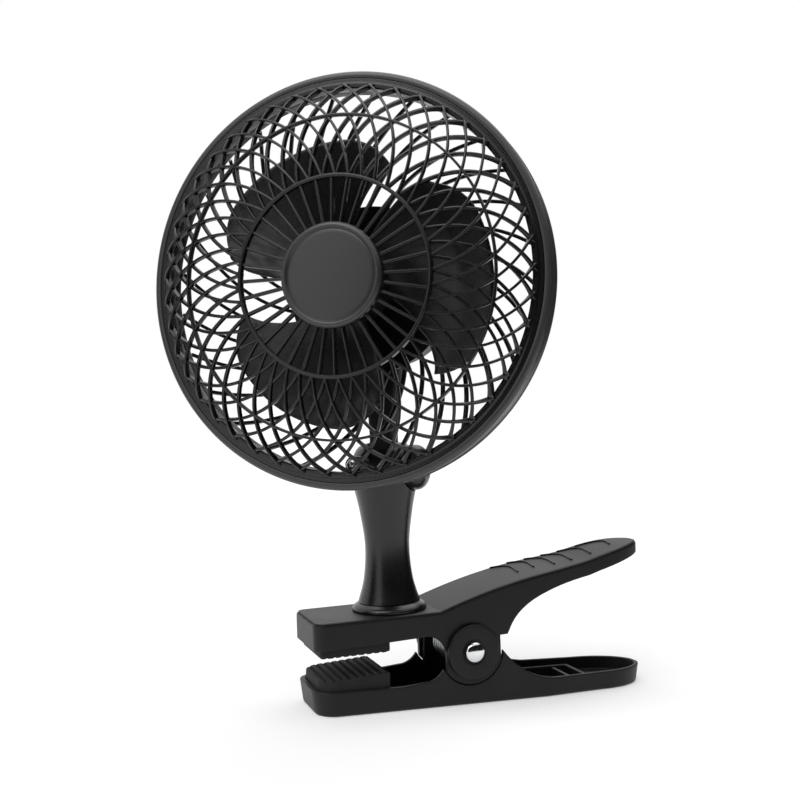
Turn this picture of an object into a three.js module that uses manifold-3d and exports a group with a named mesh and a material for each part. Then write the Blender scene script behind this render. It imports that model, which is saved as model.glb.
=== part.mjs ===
// Clip fan: a 180 mm caged fan head on a waisted neck, which stands on a spring clip.
// Millimetres, +Z up. X runs along the clip (jaws at -X, handles at +X), the rivet's bright head
// is at -Y, and the origin is on the resting face, straight below the clip's pivot.
import * as THREE from 'three';
import { mergeVertices } from 'three/addons/utils/BufferGeometryUtils.js';
import Module from 'manifold-3d';

const wasm = await Module();
wasm.setup();

// ---------------------------------------------------------------- driving dimensions
const FIT_GAP = 0.3; // between pieces that touch or seat
const RUN_GAP = 0.5; // between pieces that turn past each other
const DEGREE = Math.PI / 180;

// Clip levers
const CLIP_WIDTH = 41;
const CLIP_WALL = 2.4;
const JAW_REACH = 74; // pivot to jaw front
const HANDLE_REACH = 98.5; // pivot to handle tips
const HANDLE_WIDTH = 35; // across the handles where their round tips start
const HANDLE_TIP_LENGTH = 28;
const HANDLE_TAPER_START = 40;
const LOWER_CORNER_RADIUS = 9;
const UPPER_CORNER_RADIUS = 4;
const PIVOT_HEIGHT = 25;
const JAW_CLOSING = 2.3 * DEGREE; // the upper lever leans towards the jaws at its stop
const LUG_RADIUS = 15.4; // the upper lever's round ears at the pivot
const LOWER_JAW_HEIGHT = 11;
const LOWER_HANDLE_HEIGHT = 9;
const THROAT_RADIUS = 10.5;
const THROAT_X = -22.9;
const THROAT_DROP = 2.4; // throat centre below the pivot
const UPPER_THROAT_Z = -1.6; // the same centre on the upper lever, which leans
const JAW_TOP = 19.6; // upper jaw's flat top above the pivot
const JAW_UNDERSIDE = 7.2; // upper jaw's underside above the pivot
const HANDLE_TOP = 42; // upper handle's tip above the pivot
const HANDLE_BEND_X = 21.7; // where the upper lever's top line turns along the handle
const HANDLE_BEND_TOP = 29.6;
const TIP_LIFT_LENGTH = 34.5; // the handle's last stretch, which lifts to its tip

// Pivot
const PIN_RADIUS = 3;
const PIN_HEAD_RADIUS = 4.7;
const PIN_HEAD_RISE = 2.4;
const CAP_RADIUS = 12.6;
const CAP_THICKNESS = 2.2;
const INNER_LUG_RADIUS = 11;
const SPRING_RADIUS = 8.2;
const SPRING_WIRE = 2.2;
const SPRING_LENGTH = 16;
const SPRING_TURNS = 6;
const SPRING_LEG_REACH = 28;

// Grip pads
const PAD_LENGTH = 32;
const PAD_RIDGES = 9;
const PAD_RIDGE_DEPTH = 1.2;
const PAD_FRONT_RISE = 4.2; // lower pad above its jaw's rim, at the front
const PAD_BACK_RISE = 7;
const UPPER_PAD_DROP = 3.8; // upper pad below its jaw's underside
const PAD_SEAT_DEPTH = 3.5; // how deep both pads sit in their jaws

// Neck
const NECK_SETBACK = 41; // jaw front to neck axis
const NECK_X = NECK_SETBACK - JAW_REACH;
const COLLAR_RADIUS = 17.4;
const COLLAR_HEIGHT = 3.4;
const NECK_FOOT_RADIUS = 14.5;
const NECK_WAIST_RADIUS = 10.4;
const NECK_TOP_RADIUS = 15;
const NECK_WAIST_RISE = 26; // from the neck's foot
const NECK_RISE = 62; // from the neck's foot to the tilt axis
const NECK_WALL = 2.4;
const FORK_RISE = 12; // from the tilt axis to the fork's top
const FORK_SLOT = 12;
const FORK_FACE = 12; // tilt axis seat faces, from the middle
const TILT_CAP_RADIUS = 10.5;
const TILT_CAP_LENGTH = 9.4;
const TILT_SCREW_RADIUS = 2;
const TILT_HEAD_RADIUS = 5;
const SWIVEL_SCREW_RADIUS = 2.2;
const SWIVEL_HEAD_RADIUS = 4.6;

// Head pose at rest
const HEAD_YAW = -36 * DEGREE; // the head faces -Y, turned towards the jaws
const HEAD_TILT = 3 * DEGREE; // and slightly up
const HEAD_RISE = 81.4; // tilt axis to the fan's axis
const HEAD_FORWARD = 51.4; // tilt axis to the front lip's plane

// Cage, measured from the front lip's plane, forward positive
const RIM_RADIUS = 90;
const RIM_DEPTH = 12.2;
const RIM_WALL = 1.8;
const LIP_RADIUS = 86.6;
const LIP_INNER_RADIUS = 83.6;
const LIP_DEPTH = 4.5;
const LIP_PROUD = 0.2;
const DOME_RISE = 13.6;
const DOME_POWER = 2.4;
const DOME_ROUNDNESS = 0.39;
const RING_TWO_RADIUS = 68.5;
const RING_ONE_RADIUS = 42.2;
const RING_PROUD = 1;
const RIB_WIDTH = 1.5;
const RIB_DEPTH = 3;
const FRONT_SPOKES = 36; // straight ribs from the badge to ring one
const FRONT_RIBS = 45; // in each of the two crossing families outside ring one
const BADGE_RADIUS = 22.3;
const BADGE_RISE = 16.4;
const BADGE_DISC_RADIUS = 19.2;
const REAR_DEPTH = 34; // lip plane to the rear cage's plate
const REAR_START = 10;
const REAR_RIBS = 28;
const REAR_RIB_WIDTH = 1.7;
const REAR_SWEEP = 34 * DEGREE;

// Motor and its housing
const PLATE_THICKNESS = 2.4;
const HOUSING_RADIUS = 34;
const PLATE_RADIUS = HOUSING_RADIUS + 3;
const HOUSING_WALL = 2.2;
const HOUSING_LENGTH = 34;
const HOUSING_DOME = 8;
const SHAFT_RADIUS = 2.5;
const BEARING_RADIUS = 7;
const BEARING_LENGTH = 5;
const STATOR_RADIUS = HOUSING_RADIUS - HOUSING_WALL - 5.8; // with air round it
const STATOR_YOKE = 4.5;
const STATOR_LENGTH = 12;
const STATOR_START = 7; // behind the plate's back
const ROTOR_RADIUS = 12.6;
const ROTOR_GAP = 0.6;
const POLE_WIDTH = 8;
const COIL_DEPTH = 3.2;
const KNOB_RADIUS = 11;
const KNOB_LENGTH = 9;

// Impeller
const IMPELLER_HUB_RADIUS = 16;
const IMPELLER_FRONT = 4;
const IMPELLER_BACK = -21;
const IMPELLER_WALL = 2;
const BLADES = 3;
const BLADE_TIP_RADIUS = 64;
const BLADE_THICKNESS = 1.7;
const BLADE_ROOT_ARC = 78 * DEGREE;
const BLADE_TIP_ARC = 96 * DEGREE;
const BLADE_PITCH_DEPTH = 17; // along the shaft, leading edge to trailing edge

// ---------------------------------------------------------------- solids and placing
// A closed mesh as a solid: shared corners merged and needle-thin leftovers dropped.
function solid(geometry) {
  geometry.deleteAttribute('normal');
  geometry.deleteAttribute('uv');
  const merged = mergeVertices(geometry, 1e-4);
  const source = merged.index.array;
  const corners = [];
  for (let i = 0; i < source.length; i += 3) {
    const [a, b, c] = [source[i], source[i + 1], source[i + 2]];
    if (a !== b && b !== c && c !== a) corners.push(a, b, c);
  }
  return new wasm.Manifold(new wasm.Mesh({
    numProp: 3,
    vertProperties: new Float32Array(merged.attributes.position.array),
    triVerts: new Uint32Array(corners),
  }));
}

function geometryOf(body) {
  const { vertProperties, triVerts } = body.getMesh();
  const geometry = new THREE.BufferGeometry();
  geometry.setAttribute('position', new THREE.BufferAttribute(vertProperties, 3));
  geometry.setIndex(new THREE.BufferAttribute(triVerts, 1));
  geometry.computeVertexNormals();
  return geometry;
}

const join = (first, ...rest) => rest.reduce((body, next) => body.add(next), first);
const cut = (first, ...rest) => rest.reduce((body, next) => body.subtract(next), first);

function box([x0, x1], [y0, y1], [z0, z1]) {
  const geometry = new THREE.BoxGeometry(x1 - x0, y1 - y0, z1 - z0);
  return solid(geometry.translate((x0 + x1) / 2, (y0 + y1) / 2, (z0 + z1) / 2));
}

// A round bar along one axis from a to b, through the point given by the other two coordinates.
function bar(axis, radius, a, b, centre = [0, 0], sides = 20) {
  const geometry = new THREE.CylinderGeometry(radius, radius, b - a, sides);
  if (axis === 'x') geometry.rotateZ(-Math.PI / 2).translate((a + b) / 2, ...centre);
  if (axis === 'y') geometry.translate(centre[0], (a + b) / 2, centre[1]);
  if (axis === 'z') geometry.rotateX(Math.PI / 2).translate(...centre, (a + b) / 2);
  return solid(geometry);
}

function prismZ(shape, z0, z1, curveSegments = 4) {
  const options = { depth: z1 - z0, bevelEnabled: false, curveSegments };
  return solid(new THREE.ExtrudeGeometry(shape, options).translate(0, 0, z0));
}

// A shape drawn in X and Z, as thick as width across Y.
function prismY(shape, width, curveSegments = 5) {
  const options = { depth: width, bevelEnabled: false, curveSegments };
  const geometry = new THREE.ExtrudeGeometry(shape, options).rotateX(Math.PI / 2);
  return solid(geometry.translate(0, width / 2, 0));
}

// A profile of [radius, height] as the points of a lathe, listed so that its faces point out.
function lathePoints(profile) {
  const points = profile.map(([radius, height]) => new THREE.Vector2(radius, height));
  return THREE.ShapeUtils.area(points) < 0 ? points.reverse() : points;
}

// A profile turned about Z, and the same about X, its heights running along +X.
const turned = (profile, sides = 28) =>
  solid(new THREE.LatheGeometry(lathePoints(profile), sides).rotateX(Math.PI / 2));
const turnedX = (profile, sides = 24) =>
  solid(new THREE.LatheGeometry(lathePoints(profile), sides).rotateZ(-Math.PI / 2));

function ring(inner, outer, z0, z1, sides = 24) {
  return turned([[inner, z0], [outer, z0], [outer, z1], [inner, z1], [inner, z0]], sides);
}

const FINISHES = {
  plastic: { color: 0x1d1d1f, roughness: 0.42, metalness: 0 },
  gloss: { color: 0x252527, roughness: 0.28, metalness: 0 },
  rubber: { color: 0x161617, roughness: 0.8, metalness: 0 },
  chrome: { color: 0xd8d8da, roughness: 0.12, metalness: 1 },
  steel: { color: 0x9a9a9e, roughness: 0.35, metalness: 1 },
  copper: { color: 0xb0653a, roughness: 0.4, metalness: 0.9 },
  brass: { color: 0xb79a5a, roughness: 0.35, metalness: 1 },
};

function part(name, finish, body) {
  const mesh = new THREE.Mesh(geometryOf(body), new THREE.MeshStandardMaterial(FINISHES[finish]));
  mesh.name = name;
  return mesh;
}

// ---------------------------------------------------------------- clip levers
const CLIP_HALF = CLIP_WIDTH / 2;
const INNER_HALF = CLIP_HALF - CLIP_WALL;

// Both levers seen from above, drawn in by inset: square jaw, drawn-in handle, round tip.
function leverPlan(cornerRadius, inset = 0) {
  const half = CLIP_HALF - inset;
  const tail = HANDLE_WIDTH / 2 - inset;
  const front = -JAW_REACH + inset;
  const corner = cornerRadius - Math.min(inset, cornerRadius / 2);
  const tipStart = HANDLE_REACH - HANDLE_TIP_LENGTH;
  const shape = new THREE.Shape();
  shape.moveTo(front + corner, -half);
  shape.lineTo(HANDLE_TAPER_START, -half);
  shape.lineTo(tipStart, -tail);
  shape.absellipse(tipStart, 0, HANDLE_TIP_LENGTH - inset, tail, -Math.PI / 2, Math.PI / 2, false, 0);
  shape.lineTo(HANDLE_TAPER_START, half);
  shape.lineTo(front + corner, half);
  shape.absarc(front + corner, half - corner, corner, Math.PI / 2, Math.PI, false);
  shape.absarc(front + corner, corner - half, corner, Math.PI, 1.5 * Math.PI, false);
  return shape;
}

// The lower lever from the side: flat underneath, with cheeks that rise to the pivot.
function lowerProfile() {
  const shape = new THREE.Shape();
  const shoulder = PIVOT_HEIGHT - 0.8;
  const throatZ = PIVOT_HEIGHT - THROAT_DROP;
  shape.moveTo(-JAW_REACH, 0);
  shape.lineTo(HANDLE_REACH, 0);
  shape.lineTo(HANDLE_REACH, LOWER_HANDLE_HEIGHT);
  shape.lineTo(LUG_RADIUS + 28, LOWER_HANDLE_HEIGHT);
  shape.quadraticCurveTo(LUG_RADIUS + 11.5, LOWER_HANDLE_HEIGHT + 1.2, LUG_RADIUS + FIT_GAP, shoulder);
  shape.lineTo(THROAT_X + THROAT_RADIUS, shoulder);
  shape.lineTo(THROAT_X + THROAT_RADIUS, throatZ);
  shape.absarc(THROAT_X, throatZ, THROAT_RADIUS, 0, -Math.PI / 2, true);
  shape.lineTo(THROAT_X - THROAT_RADIUS, LOWER_JAW_HEIGHT);
  shape.lineTo(-JAW_REACH, LOWER_JAW_HEIGHT);
  return shape;
}

const PAD_FRONT = -JAW_REACH + CLIP_WALL + RUN_GAP;
const PAD_BACK = PAD_FRONT + PAD_LENGTH;
const PAD_HALF = INNER_HALF - RUN_GAP;
const LOWER_SEAT = LOWER_JAW_HEIGHT - PAD_SEAT_DEPTH;
const LOWER_LUG_OUTER = INNER_HALF - RUN_GAP;
const LOWER_LUG_INNER = LOWER_LUG_OUTER - CLIP_WALL;

function innerLug(side) {
  const [y0, y1] = side < 0 ? [-LOWER_LUG_OUTER, -LOWER_LUG_INNER] : [LOWER_LUG_INNER, LOWER_LUG_OUTER];
  const leg = box([-INNER_LUG_RADIUS, INNER_LUG_RADIUS], [y0, y1], [CLIP_WALL / 2, PIVOT_HEIGHT]);
  return join(leg, bar('y', INNER_LUG_RADIUS, y0, y1, [0, PIVOT_HEIGHT]));
}

// The little open box moulded in the lower handle's tray.
function handleBox() {
  const [front, back, half, wall] = [35, 65, 11.5, 1.6];
  const top = LOWER_HANDLE_HEIGHT - 2;
  const walls = box([front, back], [-half, half], [CLIP_WALL / 2, top]);
  return cut(walls, box([front + wall, back - wall], [wall - half, half - wall], [CLIP_WALL, top + 1]));
}

function lowerJaw() {
  const top = PIVOT_HEIGHT * 2;
  const outside = prismZ(leverPlan(LOWER_CORNER_RADIUS), -1, top);
  const block = prismY(lowerProfile(), CLIP_WIDTH).intersect(outside);
  const tray = prismZ(leverPlan(LOWER_CORNER_RADIUS, CLIP_WALL), CLIP_WALL, top);
  const earClearance = bar('y', LUG_RADIUS + FIT_GAP, -CLIP_WIDTH, CLIP_WIDTH, [0, PIVOT_HEIGHT], 36);
  const shell = cut(block, tray, earClearance);
  const seatPlan = [[PAD_FRONT + 1, PAD_BACK - 1], [-INNER_HALF - 0.2, INNER_HALF + 0.2]];
  const seat = box(...seatPlan, [CLIP_WALL / 2, LOWER_SEAT]);
  const inside = prismZ(leverPlan(LOWER_CORNER_RADIUS, CLIP_WALL / 2), 0.5, LOWER_SEAT);
  const whole = join(shell, seat.intersect(inside), innerLug(-1), innerLug(1), handleBox());
  return cut(whole, bar('y', PIN_RADIUS + FIT_GAP, -CLIP_WIDTH, CLIP_WIDTH, [0, PIVOT_HEIGHT]));
}

// The upper lever's top line, from the pivot; lowered by drop it is also the hollow's ceiling.
function traceTop(shape, drop) {
  const flatEnd = NECK_X + COLLAR_RADIUS + 1.1;
  const lift = HANDLE_REACH - TIP_LIFT_LENGTH;
  const along = (share) => HANDLE_BEND_X + (lift - HANDLE_BEND_X) * share;
  const top = (height) => height - drop;
  shape.lineTo(-JAW_REACH, top(JAW_TOP));
  shape.lineTo(flatEnd, top(JAW_TOP));
  shape.bezierCurveTo(flatEnd + 5.5, top(JAW_TOP + 1.8), flatEnd + 20.5, top(HANDLE_BEND_TOP - 3.1),
    HANDLE_BEND_X, top(HANDLE_BEND_TOP));
  shape.bezierCurveTo(along(0.355), top(HANDLE_BEND_TOP + 3.4), along(0.7), top(HANDLE_TOP - 8),
    lift, top(HANDLE_TOP - 5.6));
  shape.bezierCurveTo(lift + TIP_LIFT_LENGTH * 0.4, top(HANDLE_TOP - 2.2), lift + TIP_LIFT_LENGTH * 0.7,
    top(HANDLE_TOP), HANDLE_REACH, top(HANDLE_TOP));
}

function upperProfile() {
  const shape = new THREE.Shape();
  shape.moveTo(-JAW_REACH, JAW_UNDERSIDE);
  traceTop(shape, 0);
  const lift = HANDLE_REACH - TIP_LIFT_LENGTH;
  const heel = LUG_RADIUS + 3.1; // where the handle's underside meets the round ear
  shape.lineTo(HANDLE_REACH, HANDLE_TOP - 5.5);
  shape.quadraticCurveTo(lift + TIP_LIFT_LENGTH / 2, HANDLE_TOP - 8.7, lift, HANDLE_TOP - 13.2);
  shape.bezierCurveTo(heel + (lift - heel) * 0.49, HANDLE_TOP - 16.4, heel + 5, 20, heel, 5.8);
  shape.lineTo(LUG_RADIUS * 0.92, 5.6);
  shape.lineTo(0, 0);
  shape.lineTo(THROAT_X + THROAT_RADIUS, UPPER_THROAT_Z);
  shape.absarc(THROAT_X, UPPER_THROAT_Z, THROAT_RADIUS, 0, 80 * DEGREE, false);
  return shape;
}

function upperJaw() {
  const [low, high] = [-CLIP_WIDTH, CLIP_WIDTH * 2];
  const plan = prismZ(leverPlan(UPPER_CORNER_RADIUS), low, high);
  const block = prismY(upperProfile(), CLIP_WIDTH).intersect(plan);
  const ceiling = new THREE.Shape();
  ceiling.moveTo(-JAW_REACH, low);
  traceTop(ceiling, CLIP_WALL);
  ceiling.lineTo(HANDLE_REACH, low);
  const hollowPlan = prismZ(leverPlan(UPPER_CORNER_RADIUS, CLIP_WALL), low, high);
  const hollow = prismY(ceiling, CLIP_WIDTH).intersect(hollowPlan);
  const ears = cut(
    bar('y', LUG_RADIUS, -CLIP_HALF, CLIP_HALF, [0, 0], 36),
    box([-CLIP_WIDTH, CLIP_WIDTH], [-INNER_HALF, INNER_HALF], [low, high]),
    bar('y', THROAT_RADIUS, -CLIP_WIDTH, CLIP_WIDTH, [THROAT_X, UPPER_THROAT_Z], 24),
  );
  const seatBottom = JAW_UNDERSIDE + PAD_SEAT_DEPTH;
  const seatPlan = [[PAD_FRONT + 1, PAD_BACK - 1], [-INNER_HALF - 0.2, INNER_HALF + 0.2]];
  const seat = box(...seatPlan, [seatBottom, JAW_TOP - 1]);
  const whole = join(cut(block, hollow), ears, seat.intersect(block));
  return cut(
    whole,
    bar('y', PIN_RADIUS + FIT_GAP, -CLIP_WIDTH, CLIP_WIDTH),
    bar('z', SWIVEL_SCREW_RADIUS + FIT_GAP, 0, CLIP_WIDTH, [NECK_X, 0]),
  );
}

// ---------------------------------------------------------------- grip pads
// A rubber block with square-topped ridges across it, drawn in X and Z.
function padProfile(base, frontTop, backTop, up) {
  const shape = new THREE.Shape();
  const pitch = PAD_LENGTH / PAD_RIDGES;
  const topAt = (x) => frontTop + ((backTop - frontTop) * (x - PAD_FRONT)) / PAD_LENGTH;
  shape.moveTo(PAD_FRONT, base);
  for (let ridge = 0; ridge < PAD_RIDGES; ridge += 1) {
    const start = PAD_FRONT + ridge * pitch;
    const outline = [[0, 0], [0.62, 0], [0.72, 1], [0.92, 1], [1, 0]];
    for (const [share, valley] of outline.slice(0, ridge === PAD_RIDGES - 1 ? 2 : 4)) {
      const x = start + share * pitch;
      shape.lineTo(x, topAt(x) - up * valley * PAD_RIDGE_DEPTH);
    }
  }
  shape.lineTo(PAD_BACK, topAt(PAD_BACK));
  shape.lineTo(PAD_BACK, base);
  return shape;
}

function lowerPad() {
  const base = LOWER_SEAT + FIT_GAP;
  const profile = padProfile(base, LOWER_JAW_HEIGHT + PAD_FRONT_RISE, LOWER_JAW_HEIGHT + PAD_BACK_RISE, 1);
  const inside = prismZ(leverPlan(LOWER_CORNER_RADIUS, CLIP_WALL + RUN_GAP), 0, PIVOT_HEIGHT);
  return prismY(profile, PAD_HALF * 2).intersect(inside);
}

function upperPad() {
  const face = JAW_UNDERSIDE - UPPER_PAD_DROP;
  const profile = padProfile(JAW_UNDERSIDE + PAD_SEAT_DEPTH - FIT_GAP, face, face, -1);
  const inside = prismZ(leverPlan(UPPER_CORNER_RADIUS, CLIP_WALL + RUN_GAP), -PIVOT_HEIGHT, PIVOT_HEIGHT);
  return prismY(profile, PAD_HALF * 2).intersect(inside);
}

// ---------------------------------------------------------------- pivot
const CAP_INNER = CLIP_HALF + FIT_GAP;
const CAP_OUTER = CAP_INNER + CAP_THICKNESS;

function pivotCap() {
  const bore = PIN_RADIUS + FIT_GAP;
  const edge = 0.6;
  const profile = [
    [bore, CAP_INNER], [CAP_RADIUS, CAP_INNER], [CAP_RADIUS, CAP_OUTER - edge],
    [CAP_RADIUS - edge, CAP_OUTER], [bore, CAP_OUTER], [bore, CAP_INNER],
  ];
  return turned(profile, 24);
}

// The rivet along Z: a shank with a domed head at its low end, and a formed ring for the other.
function pivotRivet() {
  const seat = CAP_OUTER + FIT_GAP;
  return turned([
    [0, -seat - PIN_HEAD_RISE], [PIN_HEAD_RADIUS * 0.55, -seat - PIN_HEAD_RISE * 0.86],
    [PIN_HEAD_RADIUS * 0.87, -seat - PIN_HEAD_RISE * 0.5], [PIN_HEAD_RADIUS, -seat],
    [PIN_RADIUS, -seat], [PIN_RADIUS, seat + PIN_HEAD_RISE], [0, seat + PIN_HEAD_RISE],
  ], 20);
}

function rivetCollar() {
  const seat = CAP_OUTER + FIT_GAP;
  return ring(PIN_RADIUS + FIT_GAP / 2, PIN_HEAD_RADIUS, seat, seat + PIN_HEAD_RISE * 0.8, 20);
}

// The torsion spring's centre line: a leg to the lower handle, the turns, a leg to the upper one.
class SpringPath extends THREE.Curve {
  constructor(lowerEnd, upperEnd) {
    super();
    const reach = ([x, z]) => Math.hypot(x, z);
    const wrap = ([x, z], side) => Math.atan2(z, x) + side * Math.acos(SPRING_RADIUS / reach([x, z]));
    this.start = wrap(lowerEnd, 1);
    this.end = wrap(upperEnd, -1) + SPRING_TURNS * 2 * Math.PI;
    this.ends = [lowerEnd, upperEnd];
    this.legs = this.ends.map((end) => Math.sqrt(reach(end) ** 2 - SPRING_RADIUS ** 2));
    this.coil = Math.hypot((this.end - this.start) * SPRING_RADIUS, SPRING_LENGTH);
  }

  onCoil(share) {
    const angle = this.start + (this.end - this.start) * share;
    const y = (share - 0.5) * SPRING_LENGTH;
    return new THREE.Vector3(SPRING_RADIUS * Math.cos(angle), y, SPRING_RADIUS * Math.sin(angle));
  }

  getPoint(t, target = new THREE.Vector3()) {
    const along = t * (this.legs[0] + this.coil + this.legs[1]);
    const side = along < this.legs[0] ? 0 : 1;
    const onCoil = (along - this.legs[0]) / this.coil;
    if (onCoil >= 0 && onCoil <= 1) return target.copy(this.onCoil(onCoil));
    const [x, z] = this.ends[side];
    const tip = new THREE.Vector3(x, (side - 0.5) * SPRING_LENGTH, z);
    const past = side === 0 ? along / this.legs[0] : 1 - (onCoil - 1) * (this.coil / this.legs[1]);
    return target.copy(tip).lerp(this.onCoil(side), past);
  }
}

// The least gap between neighbouring turns, on points half a turn or more apart.
function leastSpringGap(path) {
  const points = path.getSpacedPoints(480);
  const apart = Math.round((480 * Math.PI * SPRING_RADIUS) / path.getLength());
  let least = Infinity;
  for (let i = 0; i < points.length; i += 1) {
    for (let j = i + apart; j < points.length; j += 1) {
      least = Math.min(least, points[i].distanceTo(points[j]));
    }
  }
  return least - SPRING_WIRE;
}

function torsionSpring() {
  const wireHalf = SPRING_WIRE / 2;
  const floor = CLIP_WALL + wireHalf + RUN_GAP - PIVOT_HEIGHT;
  const path = new SpringPath([SPRING_LEG_REACH, floor], [SPRING_LEG_REACH - 4, PIVOT_HEIGHT - 2]);
  console.log('torsion spring, least gap between turns:', leastSpringGap(path).toFixed(2), 'mm');
  const section = new THREE.Shape().absarc(0, 0, wireHalf, 0, 2 * Math.PI, false);
  const options = { steps: 56, bevelEnabled: false, curveSegments: 3, extrudePath: path };
  return solid(new THREE.ExtrudeGeometry(section, options));
}

// ---------------------------------------------------------------- neck and its swivel
const COLLAR_BASE = JAW_TOP + FIT_GAP;
const NECK_FOOT = COLLAR_BASE + COLLAR_HEIGHT + FIT_GAP;
const TILT_AXIS = NECK_FOOT + NECK_RISE;
const SWIVEL_PLATE = 3; // the neck's floor

function neckCollar() {
  const bore = SWIVEL_SCREW_RADIUS + FIT_GAP;
  const top = COLLAR_BASE + COLLAR_HEIGHT;
  return turned([
    [bore, COLLAR_BASE], [COLLAR_RADIUS, COLLAR_BASE], [COLLAR_RADIUS, COLLAR_BASE + 1],
    [COLLAR_RADIUS - 0.7, COLLAR_BASE + 2], [NECK_FOOT_RADIUS + 0.8, top - 0.4],
    [NECK_FOOT_RADIUS, top], [bore, top], [bore, COLLAR_BASE],
  ], 24);
}

// Heights and radii of the waisted column, from its foot to the tilt axis, less a wall.
function neckOutline(wall, steps) {
  const curve = new THREE.SplineCurve([
    new THREE.Vector2(NECK_FOOT_RADIUS, 0),
    new THREE.Vector2(NECK_WAIST_RADIUS + 1.1, NECK_WAIST_RISE * 0.42),
    new THREE.Vector2(NECK_WAIST_RADIUS, NECK_WAIST_RISE),
    new THREE.Vector2(NECK_WAIST_RADIUS + 1.9, NECK_WAIST_RISE * 1.6),
    new THREE.Vector2(NECK_TOP_RADIUS, NECK_RISE - 7),
    new THREE.Vector2(NECK_TOP_RADIUS + 0.3, NECK_RISE),
  ]);
  return curve.getPoints(steps).map(({ x, y }) => [x - wall, NECK_FOOT + y]);
}

function neckColumn() {
  const outline = neckOutline(0, 8);
  const crown = [[NECK_TOP_RADIUS, 0.45], [NECK_TOP_RADIUS * 0.72, 0.9], [0, 1]]
    .map(([radius, share]) => [radius, TILT_AXIS + share * FORK_RISE]);
  const outer = turned([[0, NECK_FOOT], ...outline, ...crown], 24);
  const slotFloor = TILT_AXIS - FORK_RISE + 1;
  const inner = neckOutline(NECK_WALL, 7)
    .filter(([, z]) => z > NECK_FOOT + SWIVEL_PLATE && z < slotFloor - 6);
  const hollow = turned([
    [0, NECK_FOOT + SWIVEL_PLATE], [inner[0][0], NECK_FOOT + SWIVEL_PLATE], ...inner, [0, slotFloor - 3],
  ], 16);
  const span = NECK_TOP_RADIUS * 2;
  return cut(
    outer, hollow,
    bar('z', SWIVEL_SCREW_RADIUS + FIT_GAP, NECK_FOOT - 1, NECK_FOOT + SWIVEL_PLATE + 1),
    box([-FORK_SLOT / 2, FORK_SLOT / 2], [-span, span], [slotFloor, TILT_AXIS + span]),
    bar('x', TILT_SCREW_RADIUS + FIT_GAP, -span, span, [0, TILT_AXIS]),
    bar('x', TILT_CAP_RADIUS + RUN_GAP, FORK_FACE, span, [0, TILT_AXIS], 20),
    bar('x', TILT_HEAD_RADIUS + RUN_GAP, -span, -FORK_FACE, [0, TILT_AXIS], 20),
  );
}

const SWIVEL_WASHER = 1.2;
const WASHER_TOP = JAW_TOP - CLIP_WALL - FIT_GAP;

function swivelScrew() {
  const seat = WASHER_TOP - SWIVEL_WASHER - FIT_GAP;
  const end = NECK_FOOT + SWIVEL_PLATE + 7;
  return turned([
    [0, seat - 3], [SWIVEL_HEAD_RADIUS, seat - 3], [SWIVEL_HEAD_RADIUS, seat],
    [SWIVEL_SCREW_RADIUS, seat], [SWIVEL_SCREW_RADIUS, end], [0, end],
  ], 16);
}

const swivelWasher = () =>
  ring(SWIVEL_SCREW_RADIUS + FIT_GAP, 6.2, WASHER_TOP - SWIVEL_WASHER, WASHER_TOP, 20);

function hexNut(bore, width, z0, z1) {
  const shape = new THREE.Shape();
  for (let corner = 0; corner < 6; corner += 1) {
    const angle = corner * 60 * DEGREE;
    const point = [width * Math.cos(angle), width * Math.sin(angle)];
    if (corner === 0) shape.moveTo(...point);
    else shape.lineTo(...point);
  }
  return cut(prismZ(shape, z0, z1), bar('z', bore, z0 - 1, z1 + 1, [0, 0], 16));
}

function swivelNut() {
  const seat = NECK_FOOT + SWIVEL_PLATE + FIT_GAP;
  return hexNut(SWIVEL_SCREW_RADIUS + FIT_GAP / 2, 4.6, seat, seat + 3.6);
}

// ---------------------------------------------------------------- tilt joint, along X
const TILT_FACE = FORK_FACE + FIT_GAP;
const TILT_NUT_LENGTH = 4;

function tiltScrew() {
  const end = TILT_FACE + TILT_NUT_LENGTH + 1.4;
  return turnedX([
    [0, -TILT_FACE - 3.2], [TILT_HEAD_RADIUS * 0.7, -TILT_FACE - 2.8], [TILT_HEAD_RADIUS, -TILT_FACE - 1],
    [TILT_HEAD_RADIUS, -TILT_FACE], [TILT_SCREW_RADIUS, -TILT_FACE], [TILT_SCREW_RADIUS, end], [0, end],
  ], 20);
}

// The smooth boss that covers the nut, hollow inside.
function tiltCap() {
  const outer = turnedX([
    [0, TILT_FACE], [TILT_CAP_RADIUS, TILT_FACE], [TILT_CAP_RADIUS, TILT_FACE + TILT_CAP_LENGTH * 0.3],
    [TILT_CAP_RADIUS * 0.93, TILT_FACE + TILT_CAP_LENGTH * 0.58],
    [TILT_CAP_RADIUS * 0.76, TILT_FACE + TILT_CAP_LENGTH * 0.83],
    [TILT_CAP_RADIUS * 0.45, TILT_FACE + TILT_CAP_LENGTH * 0.97], [0, TILT_FACE + TILT_CAP_LENGTH],
  ], 20);
  return cut(outer, bar('x', TILT_HEAD_RADIUS + 0.6, TILT_FACE - 1, TILT_FACE + TILT_NUT_LENGTH + 2));
}

function tiltNut() {
  const bore = TILT_SCREW_RADIUS + FIT_GAP / 2;
  const nut = hexNut(bore, TILT_HEAD_RADIUS, TILT_FACE, TILT_FACE + TILT_NUT_LENGTH);
  return nut.rotate([0, 90, 0]);
}

// ---------------------------------------------------------------- cage, along its own +Z, lip at 0
const domeAt = (radius) =>
  DOME_RISE * Math.max(1 - (radius / LIP_RADIUS) ** DOME_POWER, 0) ** DOME_ROUNDNESS;
const rearAt = (radius) => {
  const share = Math.min(Math.max((LIP_RADIUS - radius) / (LIP_RADIUS - PLATE_RADIUS), 0), 1);
  return -REAR_START - (REAR_DEPTH - REAR_START) * share ** 0.72;
};

const polar = (radius, angle) => new THREE.Vector2(radius * Math.cos(angle), radius * Math.sin(angle));

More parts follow.
